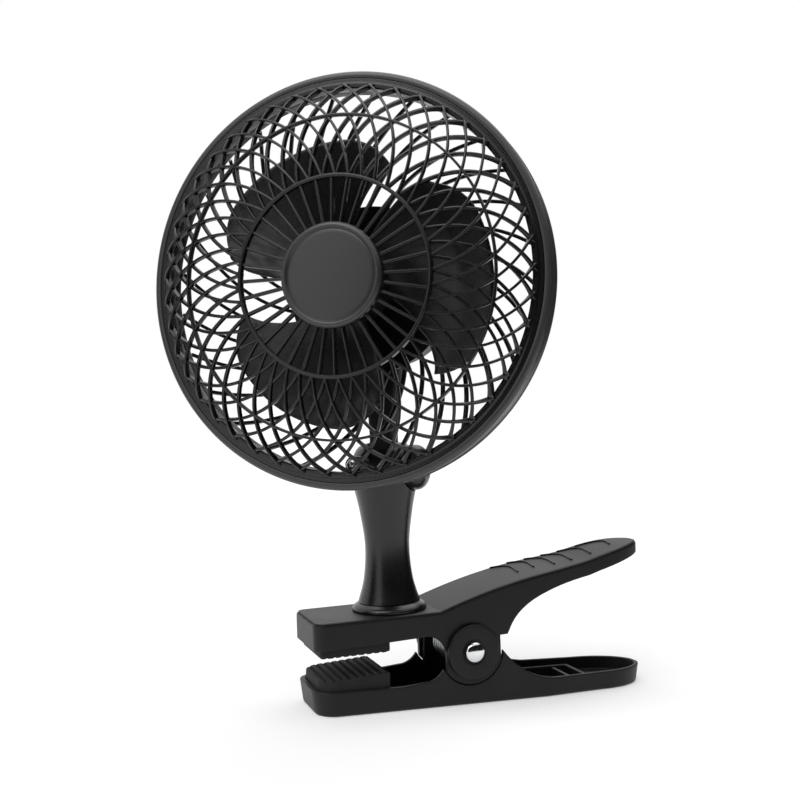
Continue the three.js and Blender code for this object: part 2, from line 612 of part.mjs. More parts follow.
// A flat disc with windows, whose front and back faces are raised to heights by radius.
function pressedCage(boreRadius, windows, frontAt, backAt, sides) {
  const disc = new THREE.Shape().absarc(0, 0, LIP_RADIUS, 0, 2 * Math.PI, false);
  disc.holes.push(new THREE.Path().absarc(0, 0, boreRadius, 0, 2 * Math.PI, true));
  for (const corners of windows) disc.holes.push(new THREE.Path(corners));
  const options = { depth: 1, bevelEnabled: false, curveSegments: sides / 2 };
  const geometry = new THREE.ExtrudeGeometry(disc, options);
  const position = geometry.attributes.position;
  for (let i = 0; i < position.count; i += 1) {
    const radius = Math.hypot(position.getX(i), position.getY(i));
    position.setZ(i, position.getZ(i) > 0.5 ? frontAt(radius) : backAt(radius));
  }
  return solid(geometry);
}

// Moves each corner of a small outline inwards, to leave half a rib on every side.
function inset(outline, distance) {
  const corners = THREE.ShapeUtils.isClockWise(outline) ? outline.reverse() : outline;
  const inward = (direction) => new THREE.Vector2(-direction.y, direction.x);
  return corners.map((corner, i) => {
    const before = corners[(i + corners.length - 1) % corners.length];
    const after = corners[(i + 1) % corners.length];
    const arriving = corner.clone().sub(before).normalize();
    const leaving = after.clone().sub(corner).normalize();
    const bisector = inward(arriving.clone().add(leaving).normalize());
    const share = Math.max(bisector.dot(inward(arriving)), 0.3);
    return corner.clone().add(bisector.multiplyScalar(distance / share));
  });
}

// Where the two rib families cross: on ring one, twice on the way to ring two, on ring two, ...
const CROSSING_ROWS = [RING_ONE_RADIUS, 52, 61, RING_TWO_RADIUS, 73.8, 78.8, LIP_INNER_RADIUS - 0.2];
const LAST_ROW = CROSSING_ROWS.length - 1;

function spokeWindow(spoke) {
  const [from, to] = [(spoke * 2 * Math.PI) / FRONT_SPOKES, ((spoke + 1) * 2 * Math.PI) / FRONT_SPOKES];
  const [inner, outer] = [BADGE_RADIUS - 2, RING_ONE_RADIUS - 0.4];
  return inset([polar(inner, from), polar(outer, from), polar(outer, to), polar(inner, to)], RIB_WIDTH / 2);
}

// The windows centred on one row: a diamond between crossings, halved where a ring runs through.
function latticeWindows(row, rib) {
  const pitch = (2 * Math.PI) / FRONT_RIBS;
  const turn = (rib + (row % 2 ? 0.5 : 0)) * pitch;
  const cornerAt = (at, share) => polar(CROSSING_ROWS[at], turn + share * pitch);
  const [left, right] = [cornerAt(row, 0), cornerAt(row, 1)];
  const low = row > 0 ? [cornerAt(row - 1, 0.5)] : [];
  const high = row < LAST_ROW ? [cornerAt(row + 1, 0.5)] : [];
  const onRing = [RING_ONE_RADIUS, RING_TWO_RADIUS].includes(CROSSING_ROWS[row]) || row === LAST_ROW;
  if (!onRing) return [inset([...low, right, ...high, left], RIB_WIDTH / 2)];
  return [low, high].filter((tip) => tip.length).map((tip) => inset([left, right, ...tip], RIB_WIDTH / 2));
}

// The rosette: straight spokes round the badge, then two families of ribs that cross.
function frontWindows() {
  const windows = Array.from({ length: FRONT_SPOKES }, (_, spoke) => spokeWindow(spoke));
  for (let rib = 0; rib < FRONT_RIBS; rib += 1) {
    for (let row = 0; row <= LAST_ROW; row += 1) windows.push(...latticeWindows(row, rib));
  }
  return windows;
}

const isLip = (radius) => radius > LIP_INNER_RADIUS - 1.5;
const isRing = (radius) =>
  Math.abs(radius - RING_ONE_RADIUS) < RIB_WIDTH || Math.abs(radius - RING_TWO_RADIUS) < RIB_WIDTH;

function frontGrille() {
  const domed = (radius) => domeAt(radius) + (isRing(radius) ? RING_PROUD : 0);
  const frontAt = (radius) => (isLip(radius) ? LIP_PROUD : domed(radius));
  const backAt = (radius) => (isLip(radius) ? -LIP_DEPTH : domeAt(radius) - RIB_DEPTH);
  return pressedCage(BADGE_RADIUS - 5, frontWindows(), frontAt, backAt, 50);
}

// The bare round badge that closes the front grille's middle.
function hubBadge() {
  const back = domeAt(BADGE_RADIUS) + FIT_GAP;
  const recess = BADGE_RISE - 0.9;
  return turned([
    [0, back], [BADGE_RADIUS - 0.8, back], [BADGE_RADIUS, back + 0.8], [BADGE_RADIUS - 0.5, BADGE_RISE - 0.9],
    [BADGE_RADIUS - 1.6, BADGE_RISE], [BADGE_DISC_RADIUS + 0.6, BADGE_RISE], [BADGE_DISC_RADIUS, recess],
    [0, recess],
  ], 32);
}

// The band that clamps both cages: a bead in front, a wall that flares back, a lip behind.
function rimRing() {
  const inner = LIP_RADIUS + FIT_GAP;
  return turned([
    [inner, -0.4], [inner + 0.6, 0.1], [inner + 1.3, -0.4], [RIM_RADIUS - 0.9, -3], [RIM_RADIUS, -RIM_DEPTH],
    [inner - 3, -RIM_DEPTH], [inner - 3, RIM_WALL - RIM_DEPTH], [inner, RIM_WALL - RIM_DEPTH], [inner, -0.4],
  ], 60);
}

const SCREW_BOSS_DROP = 79; // the cage screw's boss below the fan's axis
const SCREW_BOSS_BACK = rearAt(SCREW_BOSS_DROP) - 1.6;
const SCREW_BOSS_FRONT = -REAR_START + 2;
const SCREW_BOSS_RADIUS = 3.6;

function rearWindows() {
  const windows = [];
  const sweepAt = (radius) => (REAR_SWEEP * (radius - PLATE_RADIUS)) / (LIP_RADIUS - PLATE_RADIUS);
  const radii = [0, 0.3, 0.65, 1].map((share) => PLATE_RADIUS + (LIP_RADIUS - 2 - PLATE_RADIUS) * share);
  const side = (turn) => radii.map((radius) => polar(radius, turn - sweepAt(radius)));
  for (let rib = 0; rib < REAR_RIBS; rib += 1) {
    const first = side((rib * 2 * Math.PI) / REAR_RIBS);
    const second = side(((rib + 1) * 2 * Math.PI) / REAR_RIBS);
    windows.push(inset([...first, ...second.reverse()], REAR_RIB_WIDTH / 2));
  }
  return windows;
}

function rearGrille() {
  const plateBack = -REAR_DEPTH - PLATE_THICKNESS;
  const isPlate = (radius) => radius < PLATE_RADIUS + 1.5;
  const frontAt = (radius) => {
    if (isLip(radius)) return -LIP_DEPTH - RUN_GAP;
    return isPlate(radius) ? -REAR_DEPTH : rearAt(radius);
  };
  const rimBack = RIM_WALL - RIM_DEPTH + FIT_GAP;
  const backAt = (radius) => {
    if (isLip(radius)) return rimBack;
    return isPlate(radius) ? plateBack : rearAt(radius) - PLATE_THICKNESS;
  };
  const cage = pressedCage(BEARING_RADIUS + 2, rearWindows(), frontAt, backAt, 2 * REAR_RIBS);
  return cut(
    join(
      cage,
      ring(BEARING_RADIUS - 1, BEARING_RADIUS + 3, plateBack, -REAR_DEPTH + BEARING_LENGTH, 24),
      bar('z', SCREW_BOSS_RADIUS, SCREW_BOSS_BACK, SCREW_BOSS_FRONT, [0, -SCREW_BOSS_DROP], 14),
      box([-2, 2], [1.5 - LIP_RADIUS, -SCREW_BOSS_DROP - 2.9], [rimBack + 0.2, -LIP_DEPTH - 1]),
    ),
    bar('z', BEARING_RADIUS + FIT_GAP, plateBack - 1, plateBack + BEARING_LENGTH + FIT_GAP, [0, 0], 24),
    bar('z', 1.7, SCREW_BOSS_BACK + 1, SCREW_BOSS_FRONT + 1, [0, -SCREW_BOSS_DROP], 12),
    ...tieHoles(plateBack - 1, -REAR_DEPTH + 1),
  );
}

function cageScrew() {
  const seat = SCREW_BOSS_FRONT + FIT_GAP;
  return turned([
    [0, SCREW_BOSS_BACK + 1.6], [1.4, SCREW_BOSS_BACK + 1.6], [1.4, seat], [2.6, seat], [2.6, seat + 1.2],
    [1.6, seat + 1.9], [0, seat + 2],
  ], 14);
}

// ---------------------------------------------------------------- motor housing and its arm
const PLATE_BACK = -REAR_DEPTH - PLATE_THICKNESS;
const HOUSING_FRONT = PLATE_BACK - FIT_GAP;
const HOUSING_BACK = HOUSING_FRONT - HOUSING_LENGTH;
const ARM_HALF = FORK_SLOT / 2 - RUN_GAP;
const ARM_DEPTH = 13;
const KNOB_SPINDLE_RADIUS = 3;
const GLAND_DROP = 22;
const GLAND_RADIUS = 3.4;

// The arm is where its front outline and its side outline meet; its foot is the round tilt lug.
function housingArm() {
  const axis = -HEAD_RISE;
  const lugRadius = FORK_RISE - 1 - RUN_GAP - 0.4;
  const front = new THREE.Shape();
  const shoulder = -HOUSING_RADIUS + 6;
  front.moveTo(-ARM_HALF, axis - lugRadius - 1);
  front.lineTo(ARM_HALF, axis - lugRadius - 1);
  front.lineTo(ARM_HALF, axis + FORK_RISE + 3);
  front.quadraticCurveTo(ARM_HALF + 1, shoulder - 14, 13, shoulder);
  front.lineTo(-13, shoulder);
  front.quadraticCurveTo(-ARM_HALF - 1, shoulder - 14, -ARM_HALF, axis + FORK_RISE + 3);
  const slab = prismZ(front, -HEAD_FORWARD - lugRadius - 1, -HEAD_FORWARD + lugRadius + 1);
  const side = join(
    bar('x', lugRadius, -20, 20, [axis, -HEAD_FORWARD], 24),
    box([-20, 20], [axis, shoulder], [-HEAD_FORWARD - ARM_DEPTH / 2, -HEAD_FORWARD + ARM_DEPTH / 2]),
  );
  return slab.intersect(side);
}

function motorHousing() {
  const rear = HOUSING_BACK;
  const shell = turned([
    [0, rear], [HOUSING_RADIUS - HOUSING_DOME, rear],
    [HOUSING_RADIUS - HOUSING_DOME * 0.4, rear + HOUSING_DOME * 0.3],
    [HOUSING_RADIUS - HOUSING_DOME * 0.08, rear + HOUSING_DOME * 0.75],
    [HOUSING_RADIUS, rear + HOUSING_DOME * 1.4], [HOUSING_RADIUS, HOUSING_FRONT], [0, HOUSING_FRONT],
  ], 28);
  const innerRadius = HOUSING_RADIUS - HOUSING_WALL;
  const cavityBack = rear + HOUSING_WALL;
  const cavity = turned([
    [0, cavityBack], [innerRadius - HOUSING_DOME, cavityBack], [innerRadius, cavityBack + HOUSING_DOME],
    [innerRadius, HOUSING_FRONT + 1], [0, HOUSING_FRONT + 1],
  ], 20);
  return cut(
    join(shell, housingArm()), cavity,
    bar('x', TILT_SCREW_RADIUS + FIT_GAP, -20, 20, [-HEAD_RISE, -HEAD_FORWARD]),
    bar('z', KNOB_SPINDLE_RADIUS + FIT_GAP, rear - 1, rear + HOUSING_WALL + 1),
    bar('z', GLAND_RADIUS + FIT_GAP, rear - 1, rear + HOUSING_WALL + 1, [0, -GLAND_DROP]),
  );
}

function speedKnob() {
  const face = HOUSING_BACK - FIT_GAP;
  const back = face - KNOB_LENGTH;
  const body = turned([
    [0, back], [KNOB_RADIUS - 1.6, back], [KNOB_RADIUS - 0.6, back + 1], [KNOB_RADIUS, face],
    [KNOB_SPINDLE_RADIUS, face], [KNOB_SPINDLE_RADIUS, face + HOUSING_WALL + 2 * FIT_GAP],
    [0, face + HOUSING_WALL + 2 * FIT_GAP],
  ], 20);
  const pointer = box([-0.8, 0.8], [KNOB_RADIUS - 4, KNOB_RADIUS + 1], [back - 1, back + 0.6]);
  return cut(body, pointer);
}

const SWITCH_FRONT = HOUSING_BACK + HOUSING_WALL + 5;

function switchBody() {
  const back = HOUSING_BACK + HOUSING_WALL + FIT_GAP;
  return cut(
    box([-8, 8], [-9, 9], [back, SWITCH_FRONT]),
    bar('z', KNOB_SPINDLE_RADIUS + FIT_GAP, back - 1, back + 2.4),
  );
}

function cableGland() {
  const face = HOUSING_BACK - FIT_GAP;
  const bore = 2.1;
  return turned([
    [bore, face + HOUSING_WALL + 1], [bore, face - 8], [3.2, face - 8], [4.2, face - 2], [5.4, face - 2],
    [5.4, face], [GLAND_RADIUS, face], [GLAND_RADIUS, face + HOUSING_WALL + 1],
    [bore, face + HOUSING_WALL + 1],
  ], 16);
}

// ---------------------------------------------------------------- motor
const STATOR_FRONT = PLATE_BACK - STATOR_START;
const STATOR_BACK = STATOR_FRONT - STATOR_LENGTH;
const BRACKET_FRONT = STATOR_BACK - COIL_DEPTH - 1.2;
const BRACKET_THICKNESS = 2;
const BRACKET_BACK = BRACKET_FRONT - BRACKET_THICKNESS;
const TIE_RADIUS = 1.6;

const screwPlaces = () => {
  const middle = (STATOR_RADIUS - STATOR_YOKE / 2) / Math.SQRT2;
  return [[middle, middle], [-middle, middle], [-middle, -middle], [middle, -middle]];
};

const tieHoles = (z0, z1) =>
  screwPlaces().map((place) => bar('z', TIE_RADIUS + FIT_GAP, z0, z1, place, 10));

function statorCore() {
  const yoke = ring(STATOR_RADIUS - STATOR_YOKE, STATOR_RADIUS, STATOR_BACK, STATOR_FRONT, 24);
  const reach = STATOR_RADIUS - STATOR_YOKE / 2;
  const half = POLE_WIDTH / 2;
  const poles = join(
    box([-reach, reach], [-half, half], [STATOR_BACK, STATOR_FRONT]),
    box([-half, half], [-reach, reach], [STATOR_BACK, STATOR_FRONT]),
  );
  return cut(
    join(yoke, poles),
    bar('z', ROTOR_RADIUS + ROTOR_GAP, STATOR_BACK - 1, STATOR_FRONT + 1, [0, 0], 24),
    ...tieHoles(STATOR_BACK - 1, STATOR_FRONT + 1),
  );
}

// One winding round the pole that points along the given quarter turn.
function statorCoil(quarter) {
  const hole = POLE_WIDTH / 2 + FIT_GAP;
  const outer = hole + COIL_DEPTH;
  const near = ROTOR_RADIUS + ROTOR_GAP + 1.2;
  const [back, front] = [STATOR_BACK - FIT_GAP, STATOR_FRONT + FIT_GAP];
  const far = Math.sqrt((STATOR_RADIUS - STATOR_YOKE - 0.6) ** 2 - outer ** 2);
  const winding = cut(
    box([near, far], [-outer, outer], [back - COIL_DEPTH, front + COIL_DEPTH]),
    box([near - 1, far + 1], [-hole, hole], [back, front]),
  );
  return winding.rotate([0, 0, quarter * 90]);
}

function rotorCore() {
  const bore = SHAFT_RADIUS + FIT_GAP / 2;
  return ring(bore, ROTOR_RADIUS, STATOR_BACK, STATOR_FRONT, 24);
}

function motorBracket() {
  const hub = bar('z', BEARING_RADIUS + 2.4, BRACKET_BACK, BRACKET_FRONT + 1.4, [0, 0], 20);
  const arms = screwPlaces().slice(0, 2).map(([x, y], i) => {
    const length = Math.hypot(x, y) + TIE_RADIUS + 2;
    const slab = box([-length, length], [-4, 4], [BRACKET_BACK, BRACKET_FRONT]);
    return slab.rotate([0, 0, 45 + 90 * i]);
  });
  return cut(
    join(hub, ...arms),
    bar('z', BEARING_RADIUS + FIT_GAP, BRACKET_BACK + 0.8, BRACKET_FRONT + 2, [0, 0], 20),
    bar('z', SHAFT_RADIUS + 1, BRACKET_BACK - 1, BRACKET_FRONT + 2, [0, 0], 16),
    ...tieHoles(BRACKET_BACK - 1, BRACKET_FRONT + 1),
  );
}

// Long screws hold the bracket and the stator to the rear cage's plate.
function motorScrew([x, y]) {
  const seat = BRACKET_BACK - FIT_GAP;
  const body = turned([
    [0, seat - 1.8], [2.9, seat - 1.8], [2.9, seat], [TIE_RADIUS, seat], [TIE_RADIUS, -REAR_DEPTH - 0.6],
    [0, -REAR_DEPTH - 0.6],
  ], 12);
  return body.translate([x, y, 0]);
}

function bearing(z0, length) {
  return ring(SHAFT_RADIUS + FIT_GAP / 2, BEARING_RADIUS, z0, z0 + length, 20);
}

const REAR_BEARING_BACK = BRACKET_BACK + 0.8 + FIT_GAP;
const REAR_BEARING_LENGTH = 3;
const SHAFT_FRONT = IMPELLER_FRONT + 5.4;

function motorShaft() {
  const back = BRACKET_BACK - 1;
  return turned([[0, back], [SHAFT_RADIUS, back], [SHAFT_RADIUS, SHAFT_FRONT], [0, SHAFT_FRONT]], 20);
}

// ---------------------------------------------------------------- impeller
// Where the blade's middle surface lies: share along the arc (leading edge 0) and out to the tip.
function bladePoint(along, outward) {
  const rootRadius = IMPELLER_HUB_RADIUS - 1;
  const radius = rootRadius + (BLADE_TIP_RADIUS - rootRadius) * outward;
  const rounding = Math.min(along, 1 - along);
  const lobe = 1 - 0.16 * outward ** 3 * Math.max(0, 1 - rounding / 0.24) ** 2;
  const arc = BLADE_ROOT_ARC + (BLADE_TIP_ARC - BLADE_ROOT_ARC) * Math.sin((outward * Math.PI) / 2);
  const sweep = 0.34 * outward;
  const angle = (along - 0.5) * arc - sweep;
  const lift = IMPELLER_BACK + 3 + BLADE_PITCH_DEPTH * along * (1 - 0.18 * outward) + 2.5 * outward;
  return new THREE.Vector3(radius * lobe * Math.cos(angle), radius * lobe * Math.sin(angle), lift);
}

// A closed sheet of even thickness over a grid of blade points.
function blade() {
  const [columns, rows] = [7, 5];
  const positions = [];
  for (const side of [-1, 1]) {
    for (let row = 0; row <= rows; row += 1) {
      for (let column = 0; column <= columns; column += 1) {
        const point = bladePoint(column / columns, row / rows);
        positions.push(point.x, point.y, point.z + (side * BLADE_THICKNESS) / 2);
      }
    }
  }
  const width = columns + 1;
  const layer = width * (rows + 1);
  const at = (side, row, column) => side * layer + row * width + column;
  const triangles = [];
  const quad = (a, b, c, d) => triangles.push(a, b, c, a, c, d);
  for (let row = 0; row < rows; row += 1) {
    for (let column = 0; column < columns; column += 1) {
      quad(at(1, row, column + 1), at(1, row, column), at(1, row + 1, column), at(1, row + 1, column + 1));
      quad(at(0, row, column), at(0, row, column + 1), at(0, row + 1, column + 1), at(0, row + 1, column));
    }
    quad(at(1, row, 0), at(0, row, 0), at(0, row + 1, 0), at(1, row + 1, 0));
    quad(at(0, row, columns), at(1, row, columns), at(1, row + 1, columns), at(0, row + 1, columns));
  }
  for (let column = 0; column < columns; column += 1) {
    quad(at(0, 0, column), at(1, 0, column), at(1, 0, column + 1), at(0, 0, column + 1));
    quad(at(1, rows, column), at(0, rows, column), at(0, rows, column + 1), at(1, rows, column + 1));
  }
  const geometry = new THREE.BufferGeometry();
  geometry.setAttribute('position', new THREE.Float32BufferAttribute(positions, 3));
  geometry.setIndex(triangles);
  return solid(geometry);
}

function impeller() {
  const inner = IMPELLER_HUB_RADIUS - IMPELLER_WALL;
  const boss = SHAFT_RADIUS + 3;
  const bore = SHAFT_RADIUS + FIT_GAP / 2;
  const cup = turned([
    [bore, IMPELLER_BACK + 2], [boss, IMPELLER_BACK + 2], [boss, IMPELLER_FRONT - IMPELLER_WALL],
    [inner, IMPELLER_FRONT - IMPELLER_WALL - 0.6], [inner, IMPELLER_BACK],
    [IMPELLER_HUB_RADIUS, IMPELLER_BACK], [IMPELLER_HUB_RADIUS, IMPELLER_FRONT - 2],
    [IMPELLER_HUB_RADIUS - 2, IMPELLER_FRONT], [bore, IMPELLER_FRONT], [bore, IMPELLER_BACK + 2],
  ], 24);
  const core = bar('z', inner, IMPELLER_BACK - 5, IMPELLER_FRONT - IMPELLER_WALL, [0, 0], 24);
  const blades = Array.from({ length: BLADES }, (_, i) => blade().rotate([0, 0, (i * 360) / BLADES + 18]));
  return join(cup, ...blades.map((body) => cut(body, core)));
}

function impellerNut() {
  const face = IMPELLER_FRONT + FIT_GAP;
  return cut(
    turned([[0, face], [7, face], [7, face + 3.6], [4.6, face + 5.8], [0, face + 6.4]], 20),
    bar('z', SHAFT_RADIUS + FIT_GAP / 2, face - 1, SHAFT_FRONT + FIT_GAP),
  );
}

// ---------------------------------------------------------------- assembly
// A group at a place, turned about X, Y and Z, holding its children.
function placed([x, y, z], [turnX, turnY, turnZ], ...children) {
  const group = new THREE.Group();
  group.position.set(x, y, z);
  group.rotation.set(turnX, turnY, turnZ);
  group.add(...children);
  return group;
}

function lowerClip() {
  return placed([0, 0, 0], [0, 0, 0],
    part('lower_jaw', 'plastic', lowerJaw()),
    part('lower_pad', 'rubber', lowerPad()),
    placed([0, 0, PIVOT_HEIGHT], [-Math.PI / 2, 0, 0],
      part('pivot_rivet', 'chrome', pivotRivet()),
      part('rivet_collar', 'chrome', rivetCollar())),
    placed([0, 0, PIVOT_HEIGHT], [Math.PI / 2, 0, 0], part('pivot_cap_near', 'plastic', pivotCap())),
    placed([0, 0, PIVOT_HEIGHT], [-Math.PI / 2, 0, 0], part('pivot_cap_far', 'plastic', pivotCap())),
    placed([0, 0, PIVOT_HEIGHT], [0, 0, 0], part('torsion_spring', 'steel', torsionSpring())));
}

function fanHead() {
  const coils = [0, 1, 2, 3].map((quarter) =>
    part(`stator_coil_${quarter + 1}`, 'copper', statorCoil(quarter)));
  const screws = screwPlaces().map((place, i) => part(`motor_screw_${i + 1}`, 'steel', motorScrew(place)));
  const gland = part('cable_gland', 'rubber', cableGland());
  gland.position.y = -GLAND_DROP;
  const cageBolt = part('cage_screw', 'chrome', cageScrew());
  cageBolt.position.y = -SCREW_BOSS_DROP;
  return placed([0, -HEAD_FORWARD, HEAD_RISE], [Math.PI / 2, 0, 0],
    part('front_grille', 'plastic', frontGrille()),
    part('hub_badge', 'gloss', hubBadge()),
    part('rim_ring', 'plastic', rimRing()),
    part('rear_grille', 'plastic', rearGrille()),
    cageBolt,
    part('motor_housing', 'plastic', motorHousing()),
    part('speed_knob', 'plastic', speedKnob()),
    part('switch_body', 'gloss', switchBody()),
    gland,
    part('stator_core', 'steel', statorCore()),
    ...coils,
    part('motor_bracket', 'steel', motorBracket()),
    ...screws,
    part('front_bearing', 'brass', bearing(PLATE_BACK, BEARING_LENGTH)),
    part('rear_bearing', 'brass', bearing(REAR_BEARING_BACK, REAR_BEARING_LENGTH)),
    part('motor_shaft', 'steel', motorShaft()),
    part('rotor_core', 'steel', rotorCore()),
    part('impeller', 'gloss', impeller()),
    part('impeller_nut', 'plastic', impellerNut()));
}

function neckAndHead() {
  const tilt = placed([0, 0, TILT_AXIS], [-HEAD_TILT, 0, 0], fanHead());
  const screw = placed([0, 0, TILT_AXIS], [0, 0, 0],
    part('tilt_screw', 'steel', tiltScrew()),
    part('tilt_nut', 'steel', tiltNut()),
    part('tilt_cap', 'plastic', tiltCap()));
  return placed([NECK_X, 0, 0], [0, 0, HEAD_YAW],
    part('neck_column', 'plastic', neckColumn()),
    part('swivel_nut', 'steel', swivelNut()),
    screw, tilt);
}

function upperClip() {
  const seat = placed([NECK_X, 0, 0], [0, 0, 0],
    part('neck_collar', 'plastic', neckCollar()),
    part('swivel_screw', 'steel', swivelScrew()),
    part('swivel_washer', 'steel', swivelWasher()));
  return placed([0, 0, PIVOT_HEIGHT], [0, -JAW_CLOSING, 0],
    part('upper_jaw', 'plastic', upperJaw()),
    part('upper_pad', 'rubber', upperPad()),
    seat, neckAndHead());
}

const clipFan = new THREE.Group();
clipFan.add(lowerClip(), upperClip());

export default clipFan;
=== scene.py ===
"""Looks of the clip fan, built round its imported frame.

Sizes are millimetres in each piece's own frame: the lower lever's from the ground under the pivot,
the upper lever's from the pivot, the head's from the middle of the front lip with +Z forward.
Finished meshes are metres in the row frame.
"""

import logging
import math
from dataclasses import dataclass
from enum import Enum

import bmesh
import bpy
import numpy as np
from mathutils import Matrix, Vector


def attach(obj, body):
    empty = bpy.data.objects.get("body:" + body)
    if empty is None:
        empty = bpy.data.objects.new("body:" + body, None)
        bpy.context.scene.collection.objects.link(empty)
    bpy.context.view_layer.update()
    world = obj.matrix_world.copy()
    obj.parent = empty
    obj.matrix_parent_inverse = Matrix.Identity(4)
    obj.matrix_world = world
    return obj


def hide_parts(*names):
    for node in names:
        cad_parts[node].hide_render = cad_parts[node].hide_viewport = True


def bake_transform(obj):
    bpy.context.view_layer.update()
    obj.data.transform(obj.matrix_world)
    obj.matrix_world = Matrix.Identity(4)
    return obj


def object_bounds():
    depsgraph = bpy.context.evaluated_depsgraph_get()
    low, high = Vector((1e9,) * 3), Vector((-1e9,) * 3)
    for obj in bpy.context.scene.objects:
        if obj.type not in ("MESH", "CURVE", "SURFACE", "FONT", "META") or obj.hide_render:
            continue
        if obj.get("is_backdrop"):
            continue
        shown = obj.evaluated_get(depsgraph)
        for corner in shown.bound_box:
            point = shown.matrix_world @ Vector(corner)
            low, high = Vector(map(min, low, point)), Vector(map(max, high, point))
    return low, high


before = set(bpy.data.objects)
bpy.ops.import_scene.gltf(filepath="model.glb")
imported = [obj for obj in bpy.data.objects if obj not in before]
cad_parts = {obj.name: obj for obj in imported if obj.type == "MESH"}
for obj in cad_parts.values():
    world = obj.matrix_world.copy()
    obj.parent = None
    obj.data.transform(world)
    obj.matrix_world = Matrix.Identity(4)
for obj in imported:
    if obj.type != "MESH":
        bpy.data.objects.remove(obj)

LOG = logging.getLogger("clip_fan")
MM = 0.001
TAU = 2 * math.pi
Array = np.ndarray
Span = tuple[float, float]
Triple = tuple[float, float, float]


class Slot(Enum):
    """The record's material slots."""

    PLASTIC = "plastic"
    GLOSS = "gloss"
    RUBBER = "rubber"
    CHROME = "chrome"
    STEEL = "steel"
    COPPER = "copper"
    BRASS = "brass"


class Body(Enum):
    """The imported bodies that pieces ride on."""

    LOWER = "lower_clip"
    UPPER = "upper_clip"
    NECK = "neck"
    HEAD = "head"
    ROTOR = "fan_rotor"
    KNOB = "knob"


# ---------------------------------------------------------------- places
def move(x: float, y: float, z: float) -> Array:
    """A 4x4 that moves by x, y and z."""
    matrix = np.eye(4)
    matrix[:3, 3] = x, y, z
    return matrix


def turn(axis: str, degrees: float) -> Array:
    """A 4x4 that turns about one axis by the right-hand rule."""
    first = "xyz".index(axis)
    second, third = (first + 1) % 3, (first + 2) % 3
    cosine, sine = math.cos(math.radians(degrees)), math.sin(math.radians(degrees))
    matrix = np.eye(4)
    matrix[second, second] = matrix[third, third] = cosine
    matrix[second, third], matrix[third, second] = -sine, sine
    return matrix


def placed(points: Array, place: Array) -> Array:
    """Points of any shape (..., 3) carried by a 4x4."""
    return points @ place[:3, :3].T + place[:3, 3]


PIVOT_HEIGHT = 25.0
UPPER_SLANT = -2.3  # degrees, of the upper lever at rest
NECK_X = -33.0  # the neck's axis, in front of the pivot
NECK_TURN = -36.0  # degrees, of the neck on its foot at rest
TILT_AXIS = 85.6  # height on the neck's axis, in the upper lever's frame
HEAD_LEAN = -3.0  # degrees, of the head on the tilt axis at rest
HEAD_RISE = 81.4  # tilt axis to the fan's axis
HEAD_FORWARD = 51.4  # tilt axis to the front lip
ROW = np.eye(4)
PIVOT = move(0, 0, PIVOT_HEIGHT)
UPPER = PIVOT @ turn("y", UPPER_SLANT)
COLLAR_AXIS = UPPER @ move(NECK_X, 0, 0)
NECK = COLLAR_AXIS @ turn("z", NECK_TURN)
TILT = NECK @ move(0, 0, TILT_AXIS)
SIDEWAYS = TILT @ turn("y", 90)
HEAD = TILT @ turn("x", HEAD_LEAN) @ move(0, -HEAD_FORWARD, HEAD_RISE) @ turn("x", 90)


# ---------------------------------------------------------------- outlines and surfaces
def rounded(corners: Array, radii: Array, steps: int = 5, closed: bool = True) -> Array:
    """Replaces each corner of an outline by a parabola that is tangent to both its sides.

    A curve point is (1-t)^2 a + 2t(1-t) corner + t^2 b, with a and b on the two sides at the
    corner's radius, or at less than half the side where that is shorter.

    Args:
        corners: Points, shape (..., k, 2), in order.
        radii: One radius for each corner, or shapes that broadcast to (..., k).
        steps: Points on each curve.
        closed: Whether the last corner joins the first; else both ends stay sharp.

    Returns:
        Points of shape (..., k * steps, 2).
    """
    reach = np.broadcast_to(np.asarray(radii, float), corners.shape[:-1]).copy()
    if not closed:
        reach[..., 0] = reach[..., -1] = 0
    sides = [np.roll(corners, way, axis=-2) - corners for way in (1, -1)]
    lengths = [np.linalg.norm(side, axis=-1) for side in sides]
    reach = np.minimum(reach, 0.48 * np.minimum(*lengths))
    starts, ends = (
        corners + side * (reach / np.maximum(length, 1e-9))[..., None]
        for side, length in zip(sides, lengths)
    )
    t = np.linspace(0, 1, steps)[:, None]
    curve = (
        (1 - t) ** 2 * starts[..., None, :]
        + 2 * t * (1 - t) * corners[..., None, :]
        + t**2 * ends[..., None, :]
    )
    return curve.reshape(*corners.shape[:-2], -1, 2)


def lathe(profile: Array, sides: int, flutes: tuple[int, float]) -> Array:
    """A profile of (radius, height) carried round Z: radius cos a, radius sin a, height.

    Args:
        profile: Points (k, 2).
        sides: Steps round the axis.
        flutes: A count and a depth, which make each radius swell and fall that often.

    Returns:
        Points (sides, k, 3).
    """
    angle = np.arange(sides)[:, None] * TAU / sides
    count, depth = flutes
    radius = profile[None, :, 0]
    radius = radius - depth * (0.5 - 0.5 * np.cos(count * angle)) * (radius > depth * 2)
    height = np.broadcast_to(profile[None, :, 1], radius.shape)
    return np.stack([radius * np.cos(angle), radius * np.sin(angle), height], -1)


def swept(path: Array, rise: Array, profile: Array) -> Array:
    """A profile of (across, up) carried along a path: path + across side + up rise.

    Side is the path's tangent times rise, so the profile stands square to both.

    Args:
        path: Points (n, 3).
        rise: The upward direction at each point, (n, 3) or (3,).
        profile: Points (k, 2).

    Returns:
        Points (n, k, 3).
    """
    tangent = np.gradient(path, axis=0)
    side = np.cross(tangent, np.broadcast_to(rise, path.shape))
    side /= np.linalg.norm(side, axis=1, keepdims=True)
    up = np.cross(side, tangent)
    up /= np.linalg.norm(up, axis=1, keepdims=True)
    return path[:, None] + profile[None, :, :1] * side[:, None] + profile[None, :, 1:] * up[:, None]


